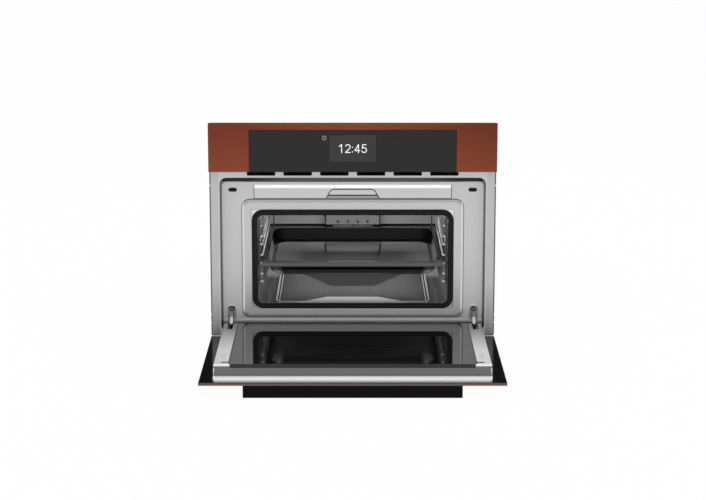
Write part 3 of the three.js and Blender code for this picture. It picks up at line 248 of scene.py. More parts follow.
def punched(made, punches):
    """Cuts the punches out of a closed piece."""
    tool = closed_piece("punches", punches)
    hole = made.modifiers.new("holes", "BOOLEAN")
    hole.operation, hole.solver, hole.object = "DIFFERENCE", "EXACT", tool
    settled(made)
    bpy.data.objects.remove(tool)
    return made


def flat_where_wide(made):
    """Wide faces keep their own direction, so that a bend doesn't tilt the mirror beside it."""
    normals = made.modifiers.new("wide faces stay flat", "WEIGHTED_NORMAL")
    normals.mode, normals.weight, normals.keep_sharp = "FACE_AREA", 80, True


def shown(made, body, finish, replaces=(), sharp=35):
    """Smooths, finishes and hangs a piece on its body, and hides the solids it stands for."""
    made.data.materials.clear()
    made.data.materials.append(finish)
    made.data.polygons.foreach_set("material_index", [0] * len(made.data.polygons))
    made.data.shade_smooth()
    if sharp:
        made.data.set_sharp_from_angle(angle=math.radians(sharp))
        flat_where_wide(made)
    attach(made, body)
    if replaces:
        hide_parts(*replaces)
    corners = np.array([corner[:] for corner in made.bound_box]) * 1000 + [0, FRONT_DEPTH, 0]
    low, high = corners.min(0).round(1).tolist(), corners.max(0).round(1).tolist()
    print(f"{made.name}: {len(made.data.polygons)} faces, {low} to {high} mm")
    return made


def softened(node, name, width, body, finish, segments=2, angle=28):
    """A copy of a CAD solid whose edges are broken, as on a folded or ground part."""
    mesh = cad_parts[node].data.copy()
    work = bmesh.new()
    work.from_mesh(mesh)
    bmesh.ops.remove_doubles(work, verts=work.verts, dist=1e-6)
    level = math.radians(0.6)
    bmesh.ops.dissolve_limit(work, angle_limit=level, verts=work.verts, edges=work.edges)
    work.to_mesh(mesh)
    work.free()
    mesh.name = name
    made = shown(linked(name, mesh), body, finish, (node,), sharp=0)
    edge = made.modifiers.new("broken edges", "BEVEL")
    edge.width, edge.segments = width * 0.001, segments
    edge.limit_method, edge.angle_limit = "ANGLE", math.radians(angle)
    edge.use_clamp_overlap = True
    flat_where_wide(made)
    return made


# %% [markdown]
# ## Writing finishes as formulas
# A finish is a sum of small effects: a base colour, a slow change over the sheet, a fine grain.
# One small class wraps a socket, so that such a sum can be written as one, and another adds
# any node by its type, its settings and the values of its sockets.

# %% Shader formulas
class Value:
    """A socket's output. The operators add Math nodes."""

    def __init__(self, nodes, socket):
        self.nodes, self.socket = nodes, socket

    def math(self, operation, *values):
        settings = {"operation": operation}
        return self.nodes.node("ShaderNodeMath", settings, dict(enumerate(values)))

    def __add__(self, other):
        return self.math("ADD", self, other)

    def __sub__(self, other):
        return self.math("SUBTRACT", self, other)

    def __rsub__(self, other):
        return self.math("SUBTRACT", other, self)

    def __mul__(self, other):
        return self.math("MULTIPLY", self, other)

    def __gt__(self, other):
        return self.math("GREATER_THAN", self, other)

    __radd__, __rmul__ = __add__, __mul__

    def ramp(self, low, high):
        """0 at low, 1 at high, straight between them."""
        values = {"Value": self, "From Min": low, "From Max": high}
        return self.nodes.node("ShaderNodeMapRange", None, values)

    def band(self, low, high, soft=0.0002):
        """1 between low and high and 0 outside, with soft ends."""
        return self.ramp(low - soft, low + soft) * self.ramp(high + soft, high - soft)


class Nodes:
    """A tree, and one method that adds any node to it."""

    def __init__(self, tree):
        self.tree = tree

    def feed(self, socket, value):
        if isinstance(value, Value):
            self.tree.links.new(value.socket, socket)
        elif socket.type == "RGBA":
            socket.default_value = (*value, 1)
        else:
            socket.default_value = value

    def node(self, kind, settings=None, values=None, output=0):
        made = self.tree.nodes.new(kind)
        for name, setting in (settings or {}).items():
            setattr(made, name, setting)
        for name, value in (values or {}).items():
            self.feed(made.inputs[name], value)
        return Value(self, made.outputs[output])


class Finish(Nodes):
    """A material with its own Principled shader."""

    def __init__(self, name, **uniform):
        self.material = bpy.data.materials.new(name)
        self.material.use_nodes = True
        super().__init__(self.material.node_tree)
        self.shader = self.tree.nodes["Principled BSDF"]
        self.vary(**uniform)

    def vary(self, **inputs):
        for name, value in inputs.items():
            self.feed(self.shader.inputs[name.replace("_", " ")], value)
        return self

    def mottled(self, mask, low, high, rough, more_rough, strength=0, size=0):
        """Colour, roughness and bump that follow one mask."""
        self.vary(Base_Color=self.mix(mask, low, high), Roughness=rough + mask * more_rough)
        if strength:
            self.vary(Normal=self.bump(mask, strength, size))
        return self.material

    def place(self, stretch=(1, 1, 1)):
        where = self.node("ShaderNodeTexCoord", output="Object")
        return self.node("ShaderNodeMapping", None, {"Vector": where, "Scale": stretch})

    def noise(self, scale, detail=2.0, stretch=(1, 1, 1)):
        values = {"Vector": self.place(stretch), "Scale": scale, "Detail": detail}
        return self.node("ShaderNodeTexNoise", None, values)

    def along(self, axis):
        where = self.node("ShaderNodeTexCoord", output="Object")
        return self.node("ShaderNodeSeparateXYZ", None, {0: where}, axis)

    @cached_property
    def depth(self):
        """Millimetres behind the steel front's face."""
        return self.along("Y") * 1000 + FRONT_DEPTH

    @cached_property
    def height(self):
        """Millimetres above the casing's underside."""
        return self.along("Z") * 1000

    @cached_property
    def width(self):
        """Millimetres from the middle plane, the same on both sides."""
        across = self.along("X") * 1000
        return across.math("ABSOLUTE", across)

    def mix(self, factor, one, two):
        values = {0: factor, 6: one, 7: two}
        return self.node("ShaderNodeMix", {"data_type": "RGBA"}, values, 2)

    def bump(self, height, strength, distance):
        values = {"Height": height, "Strength": strength, "Distance": distance}
        return self.node("ShaderNodeBump", None, values)


def linear(*levels):
    """Screen levels from 0 to 255 as light: ((c + 0.055) / 1.055) ^ 2.4."""
    return tuple(((level / 255 + 0.055) / 1.055) ** 2.4 for level in levels)


def grey(level):
    return linear(level, level, level)


# %% [markdown]
# ## Steels
# The front is cold-rolled stainless sheet with a fine horizontal brush. The chamber is the same
# steel polished. A brush is noise stretched along X: its lines change the gloss and, a little, the
# slope of the surface. Steel shows what it mirrors, and most of those surroundings aren't built
# here. So each steel has tones of painted light and shade: pairs of a mask by position, such as a
# fold or a wall, and the grey of the painted reflection, shade and highlight there. Later pairs
# lie over earlier ones.

# %% Steel finishes
def brushed(name, level, roughness, stretch, metallic, tones=None, bump=0.05, shine=None):
    """Brushed or polished steel.

    tones gives (mask, level) pairs of painted reflection, shade and highlight, and shine a mask
    and how much the metallic share and the roughness differ there.
    """
    steel = Finish(name, Metallic=metallic)
    grain, cloud = steel.noise(1, stretch=stretch), steel.noise(5)
    colour = steel.mix(grain * 0.6 + cloud * 0.4, grey(level * 0.97), grey(level * 1.03))
    for mask, tone in tones(steel) if tones else ():
        colour = steel.mix(mask, colour, grey(tone))
    rough = roughness - 0.03 + grain * 0.05 + cloud * 0.04
    if shine:
        mask, more_metal, more_rough = shine(steel)
        rough = rough + mask * more_rough
        steel.vary(Metallic=metallic + mask * more_metal)
    slope = steel.bump(grain, bump, 0.00004)
    return steel.vary(Base_Color=colour, Roughness=rough, Normal=slope).material


def front_tones(steel):
    """Painted light and shade on the pressed front: the pad is darker towards its bottom, and the
    face outside the recess a little darker, more so low down. The folded hem, the walls of the
    recess, its top wall, darkest at the ends, its foot and the step round the pad get painted
    shade, the step lighter at the sides.

    The roll round the pad gets painted shade above and a painted highlight at the sides, and the
    ledge low in the recess and the corners of the seal's seat get painted highlights.
    """
    depth, height, width = steel.depth, steel.height, steel.width
    low = height.ramp(125, 45) * width.ramp(236, 231)
    post, hem = width.ramp(278, 280), width.ramp(294.6, 295.6)
    turn = depth.ramp(17.5, 18.5)
    ledge, foot = height.band(26.6, 32.2, 0.8) * turn, height.ramp(23.4, 22) * turn
    beside, over = width.ramp(226, 228), height.ramp(325.4, 326.4)
    outer, top = depth.band(0.9, 16.4, 0.3), depth.band(0.9, 19.4, 0.2) * over
    step = depth.band(18.1, 19.7, 0.1) * (1 - over)
    roll = depth.band(17.08, 18.0, 0.1) * (1 - over)
    seat = depth.band(19.6, 20.4, 0.1) * width.band(190, 212.2, 0.3)
    seat = seat * height.band(244, 266.5, 0.5)
    return [
        (low, 194), (post, 200), (post * height.ramp(110, 10), 158), (hem, 96), (ledge, 255),
        (foot, 92), (outer, 66), (top, 130), (top * width.ramp(120, 225), 46), (step, 112),
        (step * beside, 168), (roll, 182), (roll * beside, 236), (seat, 255),
    ]


def tank_tones(steel):
    """Painted light and shade: a painted highlight on the rolled top, and painted shade on the
    pressed edge of the grip, under its fold and at both ends.
    """
    depth, height = steel.depth, steel.height
    under_fold = depth.ramp(17.9, 18.1) * height.ramp(295.6, 295.2)
    grip = depth.band(16.85, 18.1, 0.1) * height.ramp(311.2, 310.6)
    top = height.ramp(311.4, 312.2)
    ends = steel.width.ramp(205.0, 205.6) + height.ramp(290.5, 290.1)
    return [(under_fold, 176), (grip, 76), (top, 255), (ends, 96)]


def tank_shine(steel):
    return steel.height.ramp(311.4, 312.2), 0.6, -0.18


def trim_tones(steel):
    """From the pane down, painted light and shade: a black band of painted shade in the gap along
    the pane, the top beside it darker with a painted highlight on its edge, the slanted wall in
    painted shade, the lit ledge, and the lip a little darker.
    """
    height, width = steel.height, steel.width
    top = height.ramp(21.4, 21.8)
    # The band along the pane is painted black as the shade of the gap there.
    seal = top * width.ramp(239, 238)
    wall = height.band(7.9, 21.6) * width.ramp(268.4, 267.6)
    lip = height.ramp(2.9, 2.3)
    return [(top, 104), (top * height.ramp(24.4, 25), 240), (seal, 6), (wall, 102), (lip, 186)]


def trim_shine(steel):
    """Where the gap along the pane is painted black as shade, the trim is dull and hardly
    metallic.
    """
    return steel.height.ramp(21.4, 21.8) * steel.width.ramp(239, 238), -0.35, 0.3


def column_tones(steel):
    """Painted reflection, darker towards the hinge, where it mirrors the recess, and painted shade
    on the folded edges.

    An oblong pressing near the far end is painted as a light outline, the highlight of its edges.
    """
    depth, width = steel.depth, steel.width
    outline = width.band(247, 261, 0.2) * depth.band(-292, -232, 0.5)
    inner = width.band(248, 260, 0.2) * depth.band(-288, -236, 0.5)
    edge = width.ramp(242.2, 241.7) + width.ramp(269.2, 269.7)
    return [(depth.ramp(-215, -30), 138), (outline * 0.8, 255), (inner, 226), (edge, 58)]


def tray_tones(steel):
    """Painted reflection and shade: the walls and the floor are dark, with painted dark lines
    where two creases run over the floor.

    The floor's far end has a painted reflection of the lit back wall, and the turn in front of it
    a painted highlight.
    """
    depth, height, width = steel.depth, steel.height, steel.width
    bend = depth.ramp(366, 180)
    crease = width - 63 + bend * bend * 13
    lines = crease.band(-2.4, 2.4, 1.0) * height.ramp(120.6, 120.2)
    flat = height.ramp(122, 121)
    edge, middle = flat * width.ramp(105, 150), flat * crease.ramp(4, -4)
    far = depth.ramp(262, 352) * height.ramp(130, 124)
    lowest = 121.6 + width.ramp(160, 170) * depth.ramp(345, 325) * 11
    wall = (height - lowest).ramp(-0.8, 0.8) * height.ramp(150.3, 149.3) * depth.ramp(27, 28)
    flank = wall * width.ramp(148, 156) * depth.ramp(300, 250)
    turn = depth.ramp(82, 72)
    foot = turn * height.ramp(131, 127)
    gleam = turn * height.band(127.4, 129.4, 0.5) * width.ramp(150, 146)
    top, lip = height.ramp(150.9, 151.3), depth.ramp(27.5, 27)
    side = top * width.ramp(176, 179) * depth.ramp(384, 376)
    return [
        (flat, 50), (edge, 100), (middle, 38), (far, 182), (middle * far, 138), (wall, 34),
        (flank, 118), (foot, 66), (foot * width.ramp(146, 158), 225), (gleam, 112),
        (lines * (1 - far * 0.2), 4), (side, 14), (top * depth.ramp(48, 44), 118), (lip, 92),
    ]


def tray_shine(steel):
    """Use has dulled the floor of the tray and the walls at its sides."""
    depth, height = steel.depth, steel.height
    floor = height.ramp(122, 121) * depth.ramp(60, 140)
    wall = height.ramp(121, 122) * height.ramp(150.3, 149.3)
    wall = wall * steel.width.ramp(148, 156) * depth.band(100, 275, 20)
    return floor + wall, -0.45, 0.2


def pan_lights(steel):
    """Masks of the painted highlights: the facet in front, inside its slanted sides, and the
    second bead.
    """
    depth, height, width = steel.depth, steel.height, steel.width
    front = (55 + (107 - depth) * 1.085 - width).ramp(-0.5, 0.5)
    front = front * depth.ramp(107.5, 106.5) * height.ramp(57.95, 57.85)
    return front, width.band(155.6, 157.4, 0.4) * height.ramp(58.3, 58.2)


def pan_tones(steel):
    """Painted reflections: each facet mirrors another part of the chamber, bright in front and
    dark at the back, with painted shade in the groove and painted highlights on the beads.
    """
    depth, height = steel.depth, steel.height
    front, second = pan_lights(steel)
    back = (47.5 + (depth - 205) * 0.588 - steel.width).ramp(-0.5, 0.5)
    back = back * depth.ramp(204.5, 205.5) * height.ramp(57.95, 57.85)
    groove, bead = height.band(58.25, 58.8, 0.1), height.ramp(58.9, 59.2)
    return [(front, 255), (back, 114), (second, 255), (groove, 60), (bead, 255)]


def pan_shine(steel):
    """The beads and the facet in front are scoured, and scatter light instead of mirroring."""
    front, second = pan_lights(steel)
    return front + second + steel.height.ramp(58.7, 59.1), -0.5, 0.1


def rack_tones(steel):
    """The posts stand in the shade of the wall."""
    return [(steel.width.ramp(194.2, 195.2), 84)]


def chamber_tones(steel):
    """Painted light and shade: the back wall a touch lighter, as lit by the lamp, with painted
    shade behind the tray below its rim and in a band near each side, and a painted highlight on
    the chamber floor behind the pan.
    """
    back = steel.depth.ramp(405, 415)
    # Painted shade on the back wall behind the tray, below its rim.
    behind_tray = back * steel.height.ramp(152.6, 151.8)
    corner = back * steel.width.band(181.5, 184.5, 0.5)
    floor = steel.height.ramp(57.5, 56.5) * steel.depth.ramp(280, 350)
    return [(back, 206), (behind_tray, 20), (corner, 88), (floor, 255)]


def chamber_shine(steel):
    """The back wall is dull, and the floor behind the pan is half dull."""
    floor = steel.height.ramp(57.5, 56.5) * steel.depth.band(300, 404, 20)
    return floor * 0.64 + steel.depth.ramp(405, 415), -0.7, 0.2


def cover_tones(steel):
    """Folded edges turn away from the light, and a row of small slots runs low down."""
    height, width = steel.height, steel.width
    pitch = width * 0.213
    slots = (pitch.math("FRACT", pitch) > 0.5) * height.band(151.6, 153.4) * width.ramp(46, 45)
    return [(width.ramp(60.7, 61.5), 26), (height.ramp(155.6, 155.0), 22), (slots, 240)]


def hinge_tones(steel):
    """Behind the front of the collar the steel is darker; the arm is lighter, darker near its root
    and nearly black round its pin.
    """
    depth, height = steel.depth, steel.height
    rim = height.ramp(57.6, 58.4) + height.ramp(29.6, 28.8)
    ring = depth.ramp(17.8, 17.9) * (1 - rim)
    arm = steel.width.band(252, 259, 0.2) * depth.ramp(17.4, 17)
    root, pin = arm * height.ramp(36.7, 38.3), arm * height.ramp(26.6, 25)
    return [(ring, 168), (arm, 196), (root, 112), (pin, 30)]


BRUSH_ALONG_X = (6, 900, 900)
POLISH = (4, 4, 4)
FRONT_STEEL = brushed("brushed_front_steel", 216, 0.3, BRUSH_ALONG_X, 0.45, front_tones)
TANK_STEEL = brushed(
    "brushed_tank_steel", 222, 0.3, BRUSH_ALONG_X, 0.4, tank_tones, shine=tank_shine
)
TRIM_STEEL = brushed(
    "brushed_trim_steel", 216, 0.3, BRUSH_ALONG_X, 0.35, trim_tones, shine=trim_shine
)
COLUMN_STEEL = brushed("brushed_door_steel", 232, 0.3, (900, 6, 900), 0.35, column_tones)
HINGE_STEEL = brushed("hinge_steel", 236, 0.26, (90, 90, 90), 0.5, hinge_tones)
CHAMBER_STEEL = brushed(
    "polished_chamber_steel", 205, 0.12, (3, 3, 9), 0.7, chamber_tones, 0.01, chamber_shine
)
COVER_STEEL = brushed("fan_cover_steel", 216, 0.2, (3, 3, 9), 0.6, cover_tones, 0.01)
PIPE_STEEL = brushed("steam_pipe_steel", 224, 0.25, POLISH, 0.25)
TRAY_STEEL = brushed("polished_tray_steel", 60, 0.12, POLISH, 0.7, tray_tones, 0.01, tray_shine)
PAN_STEEL = brushed("polished_pan_steel", 174, 0.12, POLISH, 0.7, pan_tones, 0.01, pan_shine)
CHROME = brushed("rack_chrome", 250, 0.15, (40, 40, 40), 0.4, rack_tones, 0.02)
print("steels:", FRONT_STEEL.name, CHAMBER_STEEL.name, TRAY_STEEL.name)

# %% [markdown]
# ## Zinc and cast metal
# The casing is zinc-coated, with the faint flowers of zinc crystals: each cell of a Voronoi
# pattern keeps its own grey. Castings have pits of two sizes.

# %% Zinc and cast metal
def galvanised_finish():
    """Each crystal has its own grey and gloss, with a fine grain over all."""
    zinc = Finish("galvanised_sheet", Metallic=1.0)
    values = {"Vector": zinc.place(), "Scale": 110}
    crystals = zinc.node("ShaderNodeTexVoronoi", None, values, "Color")
    flower, fine = zinc.node("ShaderNodeSeparateColor", None, {0: crystals}), zinc.noise(900)
    shade = flower * 0.8 + fine * 0.2
    return zinc.vary(
        Base_Color=zinc.mix(shade, linear(150, 153, 156), linear(180, 183, 186)),
        Roughness=0.34 + flower * 0.12 + fine * 0.05,
        Normal=zinc.bump(shade, 0.1, 0.0001),
    ).material


def cast_finish(name, low, high, roughness, grain):
    """Cast or shot-blasted metal: two sizes of pits."""
    cast = Finish(name, Metallic=1.0)
    pits = cast.noise(grain, 4.0) * 0.7 + cast.noise(grain / 9) * 0.3
    return cast.mottled(pits, linear(*low), linear(*high), roughness, 0.15, 0.3, 0.0003)


GALVANISED = galvanised_finish()
CAST_ALUMINIUM = cast_finish("cast_aluminium", (128, 129, 131), (168, 169, 171), 0.42, 700)
MOTOR_METAL = cast_finish("motor_metal", (92, 94, 97), (126, 128, 131), 0.38, 500)
print("zinc and cast metal:", GALVANISED.name, CAST_ALUMINIUM.name, MOTOR_METAL.name)

# %% [markdown]
# ## Glass and screen
# The red-brown glass is a mirror glass: a thin metal film behind the pane takes the light's
# colour, so it is made as a metal. Its tone is painted to drift across the front, darker to both
# ends and lighter low down, as a painted reflection. The black glass is printed from behind and
# only its gloss shows. The outer pane of the door is red in front and black behind, so its colour
# follows the height within the pane.

# %% Glass finishes
# Painted reflection: the red is darker to both ends and lighter low down, and the cloud is the
# glass's own uneven tone.
RED_LEFT, RED_MIDDLE, RED_RIGHT = linear(120, 58, 46), linear(138, 73, 52), linear(108, 55, 38)
RED_LOW, RED_CLOUD = linear(154, 84, 58), linear(92, 42, 36)
# The shaded edge is grey painted shade of the handle on the pane's ground edge; the brown edge is
# the glass's own.
BROWN_EDGE, SHADED_EDGE = linear(104, 78, 70), linear(88, 84, 84)


def red_colour(glass):
    across = glass.along("X")
    left = glass.mix(across.ramp(-0.3, 0.03), RED_LEFT, RED_MIDDLE)
    whole = glass.mix(across.ramp(0.0, 0.3), left, RED_RIGHT)
    whole = glass.mix(glass.height.ramp(440, 350) * 0.5, whole, RED_LOW)
    return glass.mix(glass.noise(7, 1.0) * 0.25, whole, RED_CLOUD)


def red_finish():
    glass = Finish("red_mirror_glass", Metallic=1.0)
    rough = 0.07 + glass.noise(60, 3.0) * 0.03
    return glass.vary(Base_Color=red_colour(glass), Roughness=rough).material


def outer_pane_finish():
    """Black glass with a ground edge, brown at its ends and grey in the middle, where painted
    shade stands for the handle's shadow; the red film lies under the glass.
    """
    glass = Finish("red_glass_black_backed", Specular_IOR_Level=0.5)
    film, ground = glass.height.ramp(-7.3, -7.5), glass.height.ramp(-2.5, -2.7)
    edge = glass.mix(glass.width.ramp(217, 213), BROWN_EDGE, SHADED_EDGE)
    colour = glass.mix(film, glass.mix(ground, (0.001,) * 3, edge), red_colour(glass))
    rough = 0.05 + glass.noise(60, 3.0) * 0.02
    return glass.vary(Base_Color=colour, Metallic=film, Roughness=rough).material


def black_finish(name, level, roughness, specular):
    """Black glass: nearly no colour, and faint smudges in the gloss."""
    glass = Finish(name, Specular_IOR_Level=specular)
    wipe = glass.noise(25, 4.0, (1, 1, 3))
    return glass.mottled(wipe, (level * 0.85,) * 3, (level * 1.15,) * 3, roughness, 0.03)


RED_GLASS = red_finish()
OUTER_PANE = outer_pane_finish()
BLACK_GLASS = black_finish("black_panel_glass", 0.011, 0.05, 0.3)
DOOR_GLASS = black_finish("door_inner_glass", 0.004, 0.02, 0.85)
SCREEN = black_finish("screen_glass", 0.038, 0.08, 0.3)


def lit_finish(name, strength):
    """Lit print: an even white with a faint grid of screen points."""
    lit = Finish(name, Emission_Strength=strength, Roughness=0.4)
    points = lit.noise(2500, 0.0) * 0.3
    white = lit.mix(points, (1.0, 1.0, 1.0), (0.85, 0.88, 0.9))
    dim = lit.mix(points, (0.04,) * 3, (0.03,) * 3)
    return lit.vary(Base_Color=dim, Emission_Color=white).material


LIT = lit_finish("lit_digits", 1.0)
FAINT = lit_finish("faint_print", 0.7)

# %% [markdown]
# ## Plastics, rubber and the rest
# Moulded plastic has a fine spark-eroded grain, rubber is dull with a little bloom, mineral
# wool is a tangle of fibres, and a circuit board is green varnish over copper tracks. Each is
# the same pair of effects in other sizes: a mottled colour and a small bump.

# %% Moulded and soft finishes
def moulded(name, colour, roughness, specular, grain=1400, strength=0.2):
    plastic = Finish(name, Specular_IOR_Level=specular)
    skin, cloud = plastic.noise(grain), plastic.noise(30)
    low, high = np.array(colour) * 0.8, np.array(colour) * 1.2
    return plastic.vary(
        Base_Color=plastic.mix(cloud * 0.5 + skin * 0.5, low, high),
        Roughness=roughness - 0.05 + skin * 0.1,
        Normal=plastic.bump(skin, strength, 0.00008),
    ).material


def tank_finish():
    """Clear plastic with a smoky tint."""
    clear = Finish("clear_tank_plastic", Transmission_Weight=0.85, IOR=1.5)
    return clear.mottled(clear.noise(40), (0.55, 0.62, 0.66), (0.72, 0.78, 0.8), 0.1, 0.1)


def wool_finish():
    """Fibres: two noises stretched across each other."""
    wool = Finish("mineral_wool", Specular_IOR_Level=0.1)
    fibre = wool.noise(90, 4.0, (1, 9, 2)) * 0.5 + wool.noise(90, 4.0, (8, 1, 3)) * 0.5
    low, high = linear(150, 138, 96), linear(214, 204, 164)
    return wool.mottled(fibre, low, high, 0.9, 0.1, 0.8, 0.002)


def circuit_finish():
    """Green varnish over tracks: a track lies where a stretched noise is above its middle."""
    board = Finish("circuit_board", Specular_IOR_Level=0.4)
    tracks = (board.noise(60, 0.0, (1, 8, 8)) > 0.5) * 1.0
    low, high = linear(22, 74, 44), linear(44, 112, 66)
    return board.mottled(tracks, low, high, 0.32, 0.1, 0.2, 0.00005)


BLACK_PLASTIC = moulded("black_plastic", (0.006, 0.006, 0.006), 0.42, 0.22)
HANDLE_BLACK = moulded("handle_black", (0.003, 0.003, 0.003), 0.4, 0.07)
SEAL_RUBBER = moulded("seal_rubber", (0.008, 0.008, 0.008), 0.55, 0.2, 600, 0.3)
HOSE_RUBBER = moulded("hose_rubber", (0.03, 0.03, 0.032), 0.5, 0.3, 800, 0.3)
CLEAR_PLASTIC, WOOL, CIRCUIT = tank_finish(), wool_finish(), circuit_finish()
print("finishes:", len(bpy.data.materials))

# %% [markdown]
# ## Steel front
# One sheet of steel carries everything that shows. It is pressed back into a recess for the
# door, and inside the recess a pad rises round the mouth of the chamber, with a sunk seat for
# the seal. Pressed sheet has soft turns, and these turns catch the light, so each one gets its
# bend radius. The outline is carried from the outer edge to the mouth in eleven stations. The
# wall of the recess goes straight in before it slants, so that the shut door's trim clears it.

# %% Steel front
SHEET = 1.5
mouth_outline = rectangle(-199.7, 199.7, 65, 254, 12)


def grown(half, low, high, radius, depth):
    return facing(rectangle(-half, half, low, high, radius), depth)


front_stations = [
    grown(296.8, 0, 440, 1.5, 0),
    grown(276.8, 8, 336.4, 14.6, 0),
    grown(274.2, 9.4, 336.2, 11, 14.8),
    grown(273, 10, 324, 9, 20),
    grown(233.4, 32.8, 289, 18, 20),
    grown(231.6, 34.6, 287.2, 17, 18),
    grown(226.8, 39.6, 281.3, 14, 17),
    grown(211.8, 52.9, 266.1, 3, 17),
    grown(211.6, 53.1, 265.9, 3, 20),
    facing(mouth_outline, 20),
    facing(mouth_outline, 21.4),
]
front_bends = [1.5, 1.0, 1.6, 0.8, 1.2, 1.6, 0.8, 0.5, 0.7]
front_skin = Shape().grid(pressed(front_stations, front_bends), True)
steel_front = sheet_piece("steel_front", front_skin, SHEET)


def punch_both_sides(shape, outlines, start, end):
    """Each outline, and its mirror image: x changes sign and the order turns round."""
    for outline in outlines:
        shape.prism(outline, start, end).prism((outline * [-1, 1])[::-1], start, end)
    return shape


punches = Shape()
for slot_x in (np.arange(6) - 2.5) * 76.1:
    punches.prism(rectangle(slot_x - 29.5, slot_x + 29.5, 341.3, 358, 2.2), -6, 6)
punches.prism(rectangle(-205, 205, 370, 431, 5), -6, 6)
punches.prism(rectangle(-195.5, 195.5, 291.5, 316.2, 0.5), 14, 28)
right_holes = [rectangle(250, 261, 31, 56, 5.2), rectangle(241.85, 259.75, 303.6, 312.2, 4.25)]
edge_notches = [rectangle(295.6, 304, low, low + 5, 0.6) for low in (24, 41, 317)]
punch_both_sides(punches, right_holes, 14, 28)
punch_both_sides(punches, edge_notches, -6, 30)

# %% [markdown]
# The two upright edges of the sheet are folded back as flanges. Each is an L-shaped section
# with a bend, carried up the height of the front.

# %% Side flanges
def flange(sign):
    """Section: a quarter bend of 1.5 mm from the face, then straight back, twice for thickness."""
    turn = np.linspace(0, math.pi / 2, 6)
    outer = np.stack([296.5 + 1.5 * np.sin(turn), 1.5 - 1.5 * np.cos(turn)], -1)
    section = np.concatenate([outer, [[298, 19], [296.5, 19], [296.5, 1.6]]])
    heights = np.array([0.02, 439.98])
    return surface(section[:, 0] * sign, section[:, 1], heights[:, None])


flanges = Shape().solid(flange(1)).solid(flange(-1))
side_flanges = closed_piece("side_flanges", flanges)
punched(side_flanges, punch_both_sides(Shape(), edge_notches, -6, 30))
punched(steel_front, punches)
shown(steel_front, "oven", FRONT_STEEL, ("front_frame",))
shown(side_flanges, "oven", FRONT_STEEL)

# %% [markdown]
# ## Catch bushes
# Two black bushes sit in the recess. The catches of the door go into them. Each is moulded
# with a rounded collar and a hollow.

# %% Catch bushes
def bush(sign):
    centre = np.array([250.8 * sign, 307.9])

    def oval(shrink, depth):
        half, rise = 8.65 - shrink, 4 - shrink
        return facing(rectangle(-half, half, -rise, rise, rise - 0.02) + centre, depth)

    stations = [oval(0.05, 25), oval(0, 19.4), oval(1.3, 19.3), oval(1.7, 22.2), oval(3.2, 22.2)]
    return pressed(stations, [0.5, 0.4, 0.5], 4)


SIDES = (("left", -1), ("right", 1))
for word, sign in SIDES:
    collar = Shape().solid(bush(sign))
    made = closed_piece(f"catch_collar_{word}", collar)
    shown(made, "oven", BLACK_PLASTIC, (f"catch_bush_{word}",))

# %% [markdown]
# ## Door seal
# The seal is a soft black profile that runs round the mouth in one piece. Its section has a
# lip towards the chamber, a groove, and a bead that the door presses on. The section is
# carried between the inner and the outer outline: a share of 0 is the mouth, 1 the outside.

# %% Door seal
seal_outer = rectangle(-211.2, 211.2, 53.5, 265.5, 22)
seal_section = [(0, 19.6), (0, 17.6), (0.1, 16.6), (0.24, 16.3), (0.38, 16.7), (0.46, 17.3)]
seal_section += [(0.54, 17.3), (0.62, 16.6), (0.76, 16.3), (0.9, 16.7), (1, 17.8), (1, 19.6)]
seal_rows = [
    facing(mouth_outline + (seal_outer - mouth_outline) * share, depth)
    for share, depth in seal_section + seal_section[:1]
]
seal = closed_piece("door_seal", Shape().grid(np.stack(seal_rows), True))
shown(seal, "oven", SEAL_RUBBER, ("cavity_gasket",), sharp=50)

# %% [markdown]
# ## Cooking chamber
# The chamber is drawn and welded from polished sheet: a flange behind the front, four walls
# with generous corners and a back wall that meets them in a wide radius. The inner skin is one
# surface from the flange to the middle of the back wall, thickened outwards.

# %% Chamber
def wall(grow, depth, radius=12):
    return grown(200 + grow, 55 - grow, 262 + grow, max(radius + grow, 1), depth)


chamber_stations = [
    wall(13, 21.9),
    wall(0, 21.9),
    wall(0, 421.8),
    wall(-45, 421.8, 46),
    wall(-90, 421.8, 92),
]
chamber_skin = pressed(chamber_stations, [1.6, 13, 1], 7)
chamber = sheet_piece("chamber", Shape().grid(chamber_skin, True, "last"), 1.4)
chamber_holes = Shape().prism(disc(0, 158, 9), 415, 430).prism(disc(130, 215, 5.3), 415, 430)
punched(chamber, chamber_holes.prism(disc(120, 250, 23.3), 255, 270, lying))
shown(chamber, "oven", CHAMBER_STEEL, ("cavity_liner",))
softened("fan_baffle", "fan_cover", 0.5, "oven", COVER_STEEL, 2, 60)

# %% [markdown]
# ## Floor pan
# The pan on the chamber floor gathers condensed steam. Its rim is a rolled bead, and its floor
# falls in four shallow facets to a flat in the middle. Each facet mirrors another part of the
# chamber, so the creases between them show even though the fall is only 2 mm.

# %% Floor pan
pan_rim = [rectangle(-165 + s, 165 - s, 52 + s, 370 - s, 18 - s) for s in (0, 0, 3.4, 7)]
facet_edge = rounded_corners([[106, 60], [134, 352], [-134, 352], [-106, 60]], 1)
facet_middle = rounded_corners([[55, 107], [47.5, 205], [-47.5, 205], [-55, 107]], 0.5)
pan_outlines = [*pan_rim, facet_edge, facet_middle]
pan_heights = (55.5, 59.3, 59.3, 58.0, 58.0, 56.3)
pan_stations = [lying(outline, height) for outline, height in zip(pan_outlines, pan_heights)]
pan_skin = pressed(pan_stations, [1.3, 1.3, 1.6, 0.5], 5)
pan = sheet_piece("condensate_pan", Shape().grid(pan_skin, True, "last"), 0.8)
shown(pan, "oven", PAN_STEEL, ("floor_pan",), sharp=50)

# %% [markdown]
# ## Side racks
# Each rack is bent and welded wire: two posts at the wall, and runners that stand off it on
# short bends. A wire is a circle carried along a path, with the corners of the path rounded
# first. Knurled nuts hold the racks to the walls.

